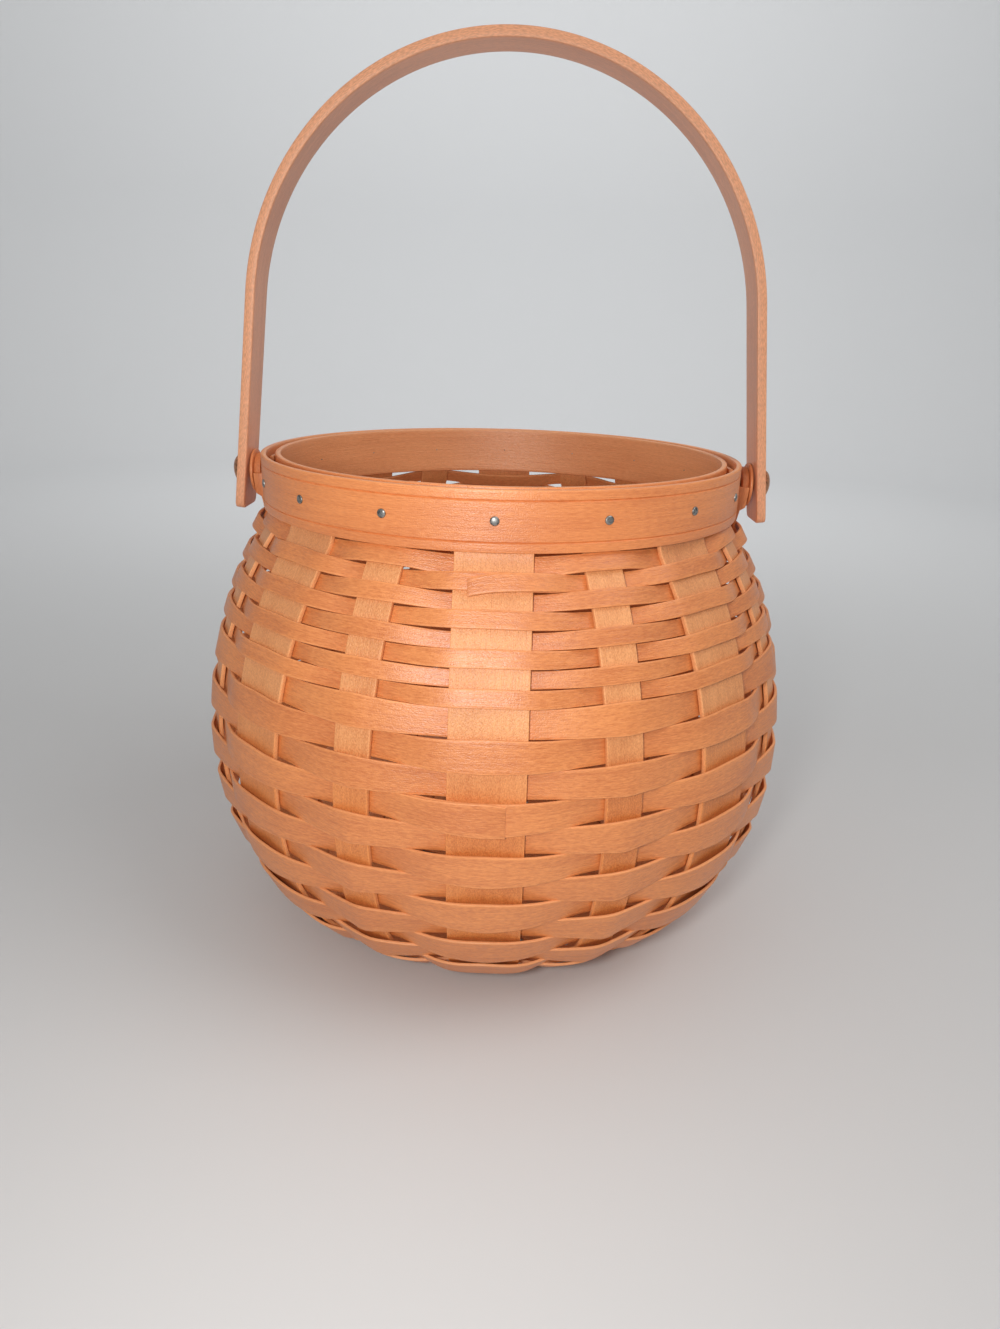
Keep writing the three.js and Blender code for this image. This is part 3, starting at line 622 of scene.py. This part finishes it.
class Outline:
    """Outline of the body in a stake's plane, as (radius, height), from the rim down."""

    def __init__(self):
        s = settings()
        body, half = s.body, s.stake.thickness / 2
        neck_x = body.rim_middle + body.neck_bend
        neck_z = BAND_LOW.z - body.neck_drop
        inward = body.belly_radius - neck_x
        rise = neck_z - body.belly_height
        shoulder = (inward ** 2 + rise ** 2 - body.neck_bend ** 2) / (2 * (inward + body.neck_bend))
        self.neck_turn = math.atan2(rise, shoulder - inward)
        turns = [self.neck_turn * i / NECK_STEPS for i in range(NECK_STEPS + 1)]
        neck = [Vector((neck_x - body.neck_bend * math.cos(turn),
                        neck_z - body.neck_bend * math.sin(turn))) for turn in turns]
        onward = Vector((math.sin(self.neck_turn), -math.cos(self.neck_turn)))
        belly = Vector((body.belly_radius, body.belly_height))
        flat = Vector((body.crossing + body.ramp, half))
        down = Vector((0, -1))
        points = [Vector((body.rim_middle, body.height)), *neck[:-1]]
        points += geometry.interpolate_bezier(
            neck[-1], neck[-1] + body.shoulder_bend * onward,
            belly - body.shoulder_bend * down, belly, CURVE_STEPS)
        points += geometry.interpolate_bezier(
            belly, belly + body.flank_bend * down,
            flat + Vector((body.base_bend, 0)), flat, CURVE_STEPS)[1:]
        self.points = points
        self.along = distances(points)
        self.length = self.along[-1]

    def at(self, distance):
        """The point at a distance along the outline."""
        i, share = span_at(self.along, distance)
        return self.points[i].lerp(self.points[i + 1], share)

    def down(self, distance):
        """Direction down the outline."""
        low = max(distance - SLOPE_REACH, 0)
        high = min(distance + SLOPE_REACH, self.length)
        return (self.at(high) - self.at(low)).normalized()

    def row_edges(self):
        """Distances of the row edges along the outline."""
        s = settings()
        w = s.weaver
        face = s.stake.thickness / 2 + s.stake.gap + w.thickness
        lean = (face + w.bulge) * math.sin(self.neck_turn)
        start = (BAND_HIGH.z - BAND_LOW.z) + w.top_drop + lean
        wide_start = start + w.narrow_rows * w.narrow_pitch
        reach = face + w.bulge + w.thickness + s.stake.gap
        above, below = wide_start, self.length - s.body.ramp
        while below - above > VERY_NEAR:
            middle = (above + below) / 2
            if self.at(middle).y + self.down(middle).x * reach > w.lift:
                above = middle
            else:
                below = middle
        rows = round((above - wide_start) / w.wide_pitch)
        edges = [start + i * w.narrow_pitch for i in range(w.narrow_rows + 1)]
        edges += [wide_start + (above - wide_start) * i / rows for i in range(1, rows + 1)]
        return edges


def place(turn, out, across, height):
    """A point from the plane of a stake: out from the axis and across to the right."""
    return Vector((out * math.sin(turn) + across * math.cos(turn),
                   -out * math.cos(turn) + across * math.sin(turn), height))


def quarter_turn(steps, start=0.0):
    """Angles from a start up to a right angle."""
    return [start + (math.pi / 2 - start) * i / steps for i in range(steps + 1)]


def stake_angle(stake):
    """Angle round the body, from the front stake."""
    return stake * 2 * math.pi / settings().stake.count


def stake_width(wide, radius):
    """Width of a stake at a radius of the body."""
    s = settings().stake
    crossing = settings().body.crossing
    grown = min(max((radius - crossing) / (s.taper_radius - crossing), 0), 1)
    widths = [waist + (full - waist) * grown
              for waist, full in ((s.narrow_waist, s.narrow), (s.wide_waist, s.wide))]
    gap = 2 * settings().weaver.reach + s.gap
    room = 4 * radius * math.tan(math.pi / s.count) - 2 * gap
    shaved = min(1, room / sum(widths)) if radius > crossing else 1
    return shaved * widths[wide]


def smooth_points(points):
    """A smooth line through points, by spans, as (span, share, point)."""
    tangents = []
    for before, p, after in zip([points[0], *points], points, [*points[1:], points[-1]]):
        d1, d2 = (p - before).length, (after - p).length
        if d1 and d2:
            slope = (p - before) / d1 * d2 + (after - p) / d2 * d1
            tangents.append(slope / (d1 + d2))
        else:
            tangents.append((after - before).normalized())
    line = []
    for i, (p, q) in enumerate(zip(points, points[1:])):
        pull = (q - p).length / 3
        curve = geometry.interpolate_bezier(p, p + tangents[i] * pull, q - tangents[i + 1] * pull,
                                            q, SPAN_STEPS + 1)
        line += [(i, j / SPAN_STEPS, spot) for j, spot in enumerate(curve[:-1])]
    return [*line, (len(points) - 2, 1.0, points[-1])]


# Laps at the front: row, way round, place of the end, drops of the upper and the lower end
FRONT_LAPS = {2: (-1, 0.0078, 0.0024, 0.0), 12: (1, 0.0062, 0.0012, 0.0009)}
# How much wider a row grows over a stake and how far it bows out, for the rows up to each
SWELL_ROWS = (8, 11, 13, 15, 17, 19, 21)
SWELLS = (0.08, 0.18, 0.24, 0.30, 0.45, 0.55, 0.70, 0.30)
BOWS = (0.0005, 0.0008, 0.0011, 0.0012, 0.0014, 0.0012, 0.0006, 0.0004)
# Share of that growth at a stake's edges, and the width of the top row inside a stake
EDGE_SWELL = 0.6
TOP_ROW_INSIDE = 1.22
# Numbers of places for laps at the back, and how far the upper end reaches over a stake
BACK_LAP_PLACES = (3, 4)
LAP_TIP_SHARE = 0.28
# Spans over which an upper end drops, the span at which a lower one does, and its reach
UPPER_END_SPANS = 2.5
LOWER_END_SPAN, LOWER_END_REACH = 3, 1.6
# Row that lies over the tails of the ears
EAR_ROW = 2
SPAN_STEPS = 8
# How quickly a row strays, and how far apart two rows are in that noise
STRAY_SCALE, STRAY_SHIFT = 28, 3.7
STAKE_STEP = 0.002


def lap_stake(row):
    """The stake on which a row's ends lap."""
    if row in FRONT_LAPS:
        return 0
    places = BACK_LAP_PLACES[row % 2]
    return settings().stake.count // 2 - (places - 1) + 2 * ((row // 2) % places)


def weaver_ribbon(row, points):
    """The ribbon of a weaving row: outside one kind of stake and inside the other."""
    s = settings()
    w, count = s.weaver, s.stake.count
    upper, lower = points[row - 1], points[row]
    middle = (upper + lower) / 2
    down = (lower - upper).normalized()
    out = Vector((-down.y, down.x))
    step = w.thickness + s.stake.gap
    outside_middle = s.stake.thickness / 2 + s.stake.gap + w.thickness / 2
    sense, end_at, drop, under_drop = FRONT_LAPS.get(row, (1, 0.0, 0.0, 0.0))
    group = bisect_left(SWELL_ROWS, row)
    first = lap_stake(row) - 1
    last = first + count + 1
    marks = []
    for stake in range(first, last + 1):
        wide = stake % 2 == 0
        outside = (row % 2 == 0) == wide
        reach = stake_width(wide, middle.x) / 2 + w.reach
        swell = SWELLS[group] if outside else 0.0
        width = (TOP_ROW_INSIDE if row == 1 and not outside else 1) + swell * EDGE_SWELL
        offset = outside_middle if outside else -outside_middle
        offset += -step if stake == first else step if stake == last else 0
        if row == EAR_ROW and stake % (count // 2) == count // 4:
            offset += w.tail
        turn = sense * stake_angle(stake)
        marks.append((turn, offset, -reach, width))
        if outside:
            marks.append((turn, offset + BOWS[group], 0.0, 1 + swell))
        end = (end_at or 2 * reach * LAP_TIP_SHARE) if stake == last else reach
        marks.append((turn, offset, end, width))
    knots = []
    for turn, offset, across, _ in marks:
        p = middle + out * offset
        knots.append(place(turn, p.x, sense * across, p.y))
    places = []
    for i, share, point in smooth_points(knots):
        eased = share * share * (3 - 2 * share)
        (turn, *_, from_wide), (next_turn, *_, to_wide) = marks[i], marks[i + 1]
        turn += (next_turn - turn) * eased
        if from_wide == 1:
            wide = 1 + (to_wide - 1) * share ** 2
        elif to_wide == 1:
            wide = 1 + (from_wide - 1) * (1 - share) ** 2
        else:
            wide = from_wide + (to_wide - from_wide) * eased
        up = place(turn, -down.x, 0, -down.y)
        away = place(turn, out.x, 0, out.y)
        spot = Vector((point.x, point.y, 0)) * STRAY_SCALE
        stray = noise.noise(spot + Vector((0, 0, row * STRAY_SHIFT)))
        point = point + up * (stray * w.wander)
        at = i + share
        ending = max(0.0, 1 - (len(knots) - 1 - at) / UPPER_END_SPANS)
        starting = max(0.0, 1 - abs(at - LOWER_END_SPAN) / LOWER_END_REACH)
        point = point - up * (drop * ending ** 2 + under_drop * starting ** 2 * (3 - 2 * starting))
        places.append((point, up, away, wide, 1.0))
    return Ribbon(places)


def stake_ribbon(stake, layer, outline, full):
    """The ribbon of a splint, from the rim, under the base and up again."""
    body, sizes = settings().body, settings().stake
    waist = sizes.waist_thickness
    layer_height = waist / 2 + layer * (waist + sizes.gap)
    half = []
    run = outline.length - sizes.top_drop
    count = round(run / STAKE_STEP)
    for i in range(count + 1):
        along = sizes.top_drop + run * i / count
        p, down = outline.at(along), outline.down(along)
        half.append((p, Vector((-down.y, down.x)), 1.0))
    half.append((Vector((body.crossing, layer_height)), Vector((0, -1)),
                 waist / sizes.thickness))
    turn = stake_angle(stake)
    places = []
    for side in (1, -1):
        places += [(place(turn, side * p.x, 0, p.y), place(turn, 0, 1, 0),
                    place(turn, side * out.x, 0, out.y),
                    stake_width(stake % 2 == 0, p.x) / full, thick)
                   for p, out, thick in half[::side]]
    return Ribbon(places)


class BASKET_OT_weavers(Operator):
    """Weave the rows of splint round the stakes"""
    bl_idname = "basket.weavers"
    bl_label = "Weavers"

    def execute(self, context):
        s = settings()
        outline = Outline()
        edges = outline.row_edges()
        points = [outline.at(edge) for edge in edges]
        for edge in range(1, s.weaver.narrow_rows, 2):
            points[edge] = (points[edge - 1] + points[edge + 1]) / 2
        for row in range(1, len(edges)):
            width = (points[row] - points[row - 1]).length - s.weaver.row_gap
            bm = bent_strip(weaver_ribbon(row, points), width, s.weaver, WEAVER_CELLS,
                            grain_shift(row, *WEAVER_GRAIN))
            add_piece(bm, f"row_{row:02d}", f"weaver_{row:02d}", "weaver")
        return {"FINISHED"}


# Stakes in the order in which they are laid across the base
STAKE_ORDER = (4, 0, 2, 6, 1, 5, 3, 7)


class BASKET_OT_stakes(Operator):
    """Bend the splints from the rim under the base and up again"""
    bl_idname = "basket.stakes"
    bl_label = "Stakes"

    def execute(self, context):
        s = settings()
        outline = Outline()
        for layer, stake in enumerate(STAKE_ORDER):
            kind = ("wide", "narrow")[stake % 2]
            width = getattr(s.stake, kind)
            bm = bent_strip(stake_ribbon(stake, layer, outline, width), width, s.stake,
                            STAKE_CELLS, grain_shift(stake, *STAKE_GRAIN))
            add_piece(bm, f"stake_{layer + 1}", f"{kind}_splint_{layer + 1}", "stake")
        return {"FINISHED"}


BAND_STEPS = 260


def band_ribbon(inner, outer, lap_at):
    """The ribbon of a rim band, whose ends taper and lap."""
    b = settings().band
    gap = settings().stake.gap
    full = 2 * math.pi
    slope = (outer - inner - b.tip) / b.lap_angle
    reach = b.lap_angle - (gap + b.tip) / slope
    places = []
    height = (BAND_LOW.z + BAND_HIGH.z - b.overhang) / 2
    for i in range(BAND_STEPS + 1):
        run = (full + reach) * i / BAND_STEPS
        low = inner + (b.tip + gap + slope * (run - full) if run > full else 0)
        high = min(outer, inner + b.tip + slope * run)
        turn = lap_at + run
        away = Vector((math.cos(turn), math.sin(turn), 0))
        centre = away * (low + high) / 2 + UP * height
        places.append((centre, UP, away, 1.0, (high - low) / (outer - inner)))
    return Ribbon(places)


class BASKET_OT_bands(Operator):
    """Bend the inner and the outer rim band"""
    bl_idname = "basket.bands"
    bl_label = "Rim bands"

    def execute(self, context):
        s = settings()
        b = s.band
        width = BAND_HIGH.z - BAND_LOW.z + b.overhang
        inner_outer = s.body.rim_middle - s.stake.thickness / 2 - s.stake.gap
        groove = width / 2 - b.groove_inset
        grooves = (-groove, groove)
        stations = sorted([*strip_stations(width, BAND_CELLS), *grooves,
                           *(g + side * b.groove_width / 2 for g in grooves for side in (-1, 1))])
        for name, radius, lap_at, cuts in (("outer", BAND_HIGH.x, b.outer_lap, grooves),
                                           ("inner", inner_outer, b.inner_lap, ())):
            bm = bent_strip(band_ribbon(radius - b.thickness, radius, lap_at), width, b,
                            BAND_CELLS, grain_shift(radius, *BAND_GRAIN), stations, cuts)
            add_piece(bm, f"rim_band_{name}", f"{name}_band", "band")
        return {"FINISHED"}


ARCH_STEPS = 60
LEG_STEPS = 24


def outward(turn):
    """Direction out of the handle's arch, in its plane."""
    return Vector((math.cos(turn), 0, math.sin(turn)))


class BASKET_OT_handle(Operator):
    """Bend the swing handle"""
    bl_idname = "basket.handle"
    bl_label = "Handle"

    def execute(self, context):
        h = settings().handle
        half = h.thickness / 2
        slope, stretch = math.tan(h.splay), 1 / math.cos(h.splay)
        crest = HANDLE_HIGH.z - half
        bend = ((HANDLE_HIGH.x - half * stretch - (crest - HANDLE_LOW.z) * slope)
                / (stretch - slope))
        centre = Vector((0, 0, crest - bend))
        foot = Vector((bend * stretch + (centre.z - HANDLE_LOW.z) * slope, 0, HANDLE_LOW.z))
        knee = centre + bend * outward(h.splay)
        right = [(foot.lerp(knee, i / LEG_STEPS), h.splay) for i in range(LEG_STEPS)]
        right += [(centre + bend * outward(a), a) for a in quarter_turn(ARCH_STEPS, h.splay)]
        line = right + [(Vector((-p.x, 0, p.z)), math.pi - a) for p, a in reversed(right[:-1])]
        ribbon = Ribbon([(p, Vector((0, 1, 0)), outward(a), 1.0, 1.0) for p, a in line])
        bm = bent_strip(ribbon, h.width, h, HANDLE_CELLS, HANDLE_GRAIN, corner=h.corner)
        add_piece(bm, "bent_handle", "handle", "handle", "handle")
        return {"FINISHED"}


EAR_SIDES = {"right": 4, "left": 12}
# How near the corners of an ear's flat face are to its low end and to its outer side
FACE_END, FACE_SIDE = 0.0005, 0.0003


def eased_ear(side, stake):
    """A merged copy of an ear with a longer face, rounded edges and upright grain."""
    f = settings().fitting
    bm = bmesh.new()
    bm.from_mesh(frame["nodes"][f"ear_{side}"].data)
    bmesh.ops.remove_doubles(bm, verts=bm.verts[:], dist=NEAR)
    bmesh.ops.dissolve_limit(bm, angle_limit=FLAT_BELOW, verts=bm.verts[:], edges=bm.edges[:])
    reach = max(abs(v.co.x) for v in bm.verts)
    for v in bm.verts:
        low = abs(v.co.z - (PIVOT_HEIGHT - f.ear_face)) < FACE_END
        if low and abs(v.co.x) > reach - FACE_SIDE:
            v.co += Vector((-math.copysign(f.ear_draft, v.co.x), 0, -f.ear_low))
    rounded(bm, EAR_EDGE, f.ear_edge)
    note_solid_grain(bm, "zyx", EAR_GRAIN + Vector((stake, 0, 0)))
    return bm


def spun(profile, steps):
    """A round surface from (radius, height)."""
    bm = bmesh.new()
    verts = [bm.verts.new((radius, 0, height)) for radius, height in profile]
    edges = [bm.edges.new(pair) for pair in zip(verts, verts[1:])]
    bmesh.ops.spin(bm, geom=verts + edges, cent=(0, 0, 0), axis=(0, 0, 1), dvec=(0, 0, 0),
                   angle=2 * math.pi, steps=steps, use_merge=True, use_duplicate=False)
    bmesh.ops.remove_doubles(bm, verts=bm.verts[:], dist=VERY_NEAR)
    bmesh.ops.recalc_face_normals(bm, faces=bm.faces[:])
    return bm


def turned(profile, steps, stake, height, shift=Vector(), lean=0.0, lean_from=0.0):
    """A round solid from (radius, distance out) points, at a stake; past lean_from it leans up."""
    bm = spun(profile, steps)
    note_solid_grain(bm, "xyz", shift)
    if lean:
        bmesh.ops.rotate(bm, cent=(0, 0, lean_from), matrix=Matrix.Rotation(lean, 3, "X"),
                         verts=[v for v in bm.verts if v.co.z > lean_from - NEAR])
    turn = (Matrix.Translation((0, 0, height)) @ Matrix.Rotation(stake_angle(stake), 4, "Z")
            @ Matrix.Rotation(math.pi / 2, 4, "X"))
    bmesh.ops.transform(bm, matrix=turn, verts=bm.verts[:])
    return bm


# Steps round each turned piece, and the play of what a rivet passes through
WASHER_STEPS, RIVET_STEPS, BURR_STEPS, TACK_STEPS = 48, 40, 32, 24
WASHER_PLAY, BURR_PLAY = 0.0003, 0.0002
# Share of a washer's rounding by which its corner is cut
CORNER_SHARE = 0.3


class BASKET_OT_ears(Operator):
    """Shape the ears and washers that carry the handle"""
    bl_idname = "basket.ears"
    bl_label = "Ears and washers"

    def execute(self, context):
        f = settings().fitting
        inner, outer = (corner.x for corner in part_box("washer_right"))
        radius, bore, edge = f.washer_radius, f.rivet_radius + WASHER_PLAY, f.washer_edge
        cut = edge * CORNER_SHARE
        disc = [(bore, inner), (radius - edge, inner), (radius - cut, inner + cut),
                (radius, inner + edge), (radius, outer - edge), (radius - cut, outer - cut),
                (radius - edge, outer), (bore, outer), (bore, inner)]
        for side, stake in EAR_SIDES.items():
            bm = eased_ear(side, stake)
            add_piece(bm, f"carved_ear_{side}", f"ear_{side}", "ear")
            bm = turned(disc, WASHER_STEPS, stake, PIVOT_HEIGHT, Vector((stake, 1, 2)))
            add_piece(bm, f"wood_washer_{side}", f"washer_{side}", "ear")
        return {"FINISHED"}


# Angle at which a rivet's dome starts, its steps, and the share of its radius that sits flat
DOME_START, DOME_STEPS, SEAT_SHARE = 0.12, 8, 0.96
# Share of a shank's radius at its tip, and its distances along the shank
PIN_TIP_SHARE, PIN_TIP, PIN_TAPER, NECK = 0.8, 0.0002, 0.0006, 0.0004


class BASKET_OT_rivets(Operator):
    """Drive the rivets through the handle and the ears"""
    bl_idname = "basket.rivets"
    bl_label = "Rivets and burrs"

    def execute(self, context):
        f, h = settings().fitting, settings().handle
        rise, head, shank = f.rivet_rise, f.rivet_head, f.rivet_radius
        base = HANDLE_HIGH.x - (PIVOT_HEIGHT - HANDLE_LOW.z) * math.tan(h.splay) + f.rivet_gap
        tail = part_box("rivet_right")[0].x
        dome = [(head * math.cos(a), base + rise * math.sin(a))
                for a in quarter_turn(DOME_STEPS, DOME_START)[:-1]]
        pin = [(0, tail), (shank * PIN_TIP_SHARE, tail + PIN_TIP), (shank, tail + PIN_TAPER),
               (shank, base - NECK), (shank, base), (head * SEAT_SHARE, base),
               *dome, (0, base + rise)]
        bore = shank + BURR_PLAY
        low, high = (corner.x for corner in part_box("burr_right"))
        burr = [(bore, low), (f.burr_radius, low), (f.burr_radius, high), (bore, high),
                (bore, low)]
        for side, stake in EAR_SIDES.items():
            bm = turned(pin, RIVET_STEPS, stake, PIVOT_HEIGHT, lean=h.splay, lean_from=base)
            add_piece(bm, f"domed_rivet_{side}", f"rivet_{side}", "copper",
                      "handle")
            bm = turned(burr, BURR_STEPS, stake, PIVOT_HEIGHT)
            add_piece(bm, f"burr_ring_{side}", f"burr_{side}", "copper")
        return {"FINISHED"}


# A tack: steps of its dome, upright share of its rise, and how far its tip tapers, its seat
# sinks and its tip passes the inner band
TACK_DOME_STEPS, UPRIGHT_SHARE = 6, 0.3
TACK_TAPER, TACK_SEAT, TACK_PAST = 0.0012, 0.0001, 0.0006


def nail(tip, seat, way):
    """Profile of a tack from its tip and seat; way is 1 if its head points out."""
    f = settings().fitting
    low = seat - way * TACK_SEAT
    points = [(0, tip), (f.tack_shank, tip + way * TACK_TAPER), (f.tack_shank, low),
              (f.tack_head, low)]
    for a in quarter_turn(TACK_DOME_STEPS)[:-1]:
        share = UPRIGHT_SHARE + (1 - UPRIGHT_SHARE) * math.sin(a)
        points.append((f.tack_head * math.cos(a), seat + way * f.tack_rise * share))
    return [*points, (0, seat + way * f.tack_rise)]


class BASKET_OT_tacks(Operator):
    """Drive the tacks of the rim and the ears"""
    bl_idname = "basket.tacks"
    bl_label = "Tacks"

    def execute(self, context):
        s = settings()
        inside = s.body.rim_middle - s.stake.thickness / 2 - s.stake.gap - s.band.thickness
        rim = {f"tack_{stake + 1:02d}": stake for stake in range(s.stake.count)
               if stake not in EAR_SIDES.values()}
        ears = {f"ear_tack_{side}": stake for side, stake in EAR_SIDES.items()}
        rim_tack = nail(inside - TACK_PAST, BAND_HIGH.x, 1)
        ear_tack = nail(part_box("ear_tack_right")[1].x, inside, -1)
        for tacks, profile, height in (
                (rim, rim_tack, (BAND_LOW.z + BAND_HIGH.z) / 2),
                (ears, ear_tack, BAND_LOW.z + s.fitting.ear_tack_rise)):
            for name, stake in tacks.items():
                bm = turned(profile, TACK_STEPS, stake, height, grain_shift(stake, *TACK_GRAIN))
                add_piece(bm, f"steel_{name}", name, "steel")
        return {"FINISHED"}


def area_light(name, watts, spot, target, size, tone):
    """A soft lamp at a place, aimed at another."""
    lamp = bpy.data.lights.new(name, "AREA")
    lamp.shape = "DISK"
    lamp.size = size
    lamp.energy = watts
    lamp.color = tone
    thing = add_object(name, lamp)
    thing.location = spot
    thing.rotation_euler = (Vector(target) - Vector(spot)).to_track_quat("-Z", "Y").to_euler()


# Place, target, size and colour of each lamp; the stage's sizes have its power
LAMPS = {
    "key": ((-0.042, -0.372, 0.245), (0, 0, 0.13), 0.05, (1.0, 0.97, 0.93)),
    "fill": ((0.7, -0.3, 1.1), (0, 0, 0.13), 0.8, (1.0, 0.98, 0.96)),
    "wall": ((0, 0.8, 1.1), (0, 2.0, 0.4), 1.0, (0.98, 0.99, 1.0)),
}
SKY_TONE = (1.0, 0.985, 0.965, 1)
FLOOR_ROUGHNESS = 0.8
SWEEP, SWEEP_STEPS, FLOOR_STEPS = 0.5, 16, 96


class BASKET_OT_stage(Operator):
    """Lay the floor, hang the lights and set the camera"""
    bl_idname = "basket.stage"
    bl_label = "Stage"

    def execute(self, context):
        st = settings().stage
        radius = st.floor_radius
        profile = [(0, 0), (radius / 2, 0), (radius, 0)]
        for a in quarter_turn(SWEEP_STEPS)[1:]:
            profile.append((radius + SWEEP * math.sin(a), SWEEP * (1 - math.cos(a))))
        profile.append((radius + SWEEP, st.wall_height))
        bm = spun(profile, FLOOR_STEPS)
        if any(f.normal.z < -0.5 for f in bm.faces):
            bmesh.ops.reverse_faces(bm, faces=bm.faces[:])
        material, tree, shader = new_material("pale_floor")
        tone = (*st.floor, 1)
        fill_sockets(tree, shader, {"Base Color": tone, "Roughness": FLOOR_ROUGHNESS})
        add_mesh(bm, "backdrop", material)

        for name, lamp in LAMPS.items():
            area_light(f"{name}_light", getattr(st, name), *lamp)
        world = bpy.data.worlds.new("soft_sky")
        context.scene.world = world
        world.use_nodes = True
        tree = world.node_tree
        sky = {"Color": SKY_TONE, "Strength": st.sky}
        fill_sockets(tree, tree.nodes["Background"], sky)

        eye = bpy.data.cameras.new("camera")
        eye.sensor_width = SENSOR_WIDTH
        eye.lens = st.lens
        camera = add_object("camera", eye)
        turn, tilt = st.azimuth, st.pitch
        camera.location = place(turn, st.distance, 0, st.camera_height)
        camera.location += st.sideways * place(turn, 0, 1, 0)
        look = place(turn, -math.cos(tilt), 0, -math.sin(tilt))
        aim = look.to_track_quat("-Z", "Y").to_matrix().to_4x4()
        camera.rotation_euler = (aim @ Matrix.Rotation(st.roll, 4, "Z")).to_euler()
        context.scene.camera = camera
        context.scene.view_settings.view_transform = "Standard"
        return {"FINISHED"}


class BASKET_PT_panel(Panel):
    """Sizes, colours and pieces of the basket"""
    bl_idname = "BASKET_PT_panel"
    bl_label = "Basket"
    bl_space_type = "VIEW_3D"
    bl_region_type = "UI"
    bl_category = "Basket"

    def draw(self, context):
        basket = context.scene.basket
        for group in BasketSettings.__annotations__:
            box = self.layout.box()
            box.label(text=group.title())
            sizes = getattr(basket, group)
            for name in sizes.__annotations__:
                box.prop(sizes, name)
        for operator in PIECES:
            self.layout.operator(operator.bl_idname)


GROUPS = (BodySizes, StakeSizes, WeaverSizes, BandSizes, HandleSizes, FittingSizes, FinishColours,
          StageSizes, BasketSettings)
PIECES = (BASKET_OT_stage, BASKET_OT_stakes, BASKET_OT_weavers, BASKET_OT_bands, BASKET_OT_handle,
          BASKET_OT_ears, BASKET_OT_rivets, BASKET_OT_tacks)
CLASSES = (*GROUPS, *PIECES, BASKET_PT_panel)


def register():
    for cls in CLASSES:
        bpy.utils.register_class(cls)
    bpy.types.Scene.basket = PointerProperty(type=BasketSettings)


def unregister():
    del bpy.types.Scene.basket
    for cls in reversed(CLASSES):
        bpy.utils.unregister_class(cls)


def main():
    """Makes every piece."""
    register()
    for operator in PIECES:
        group, name = operator.bl_idname.split(".")
        getattr(getattr(bpy.ops, group), name)()


if __name__ == "__main__":
    main()
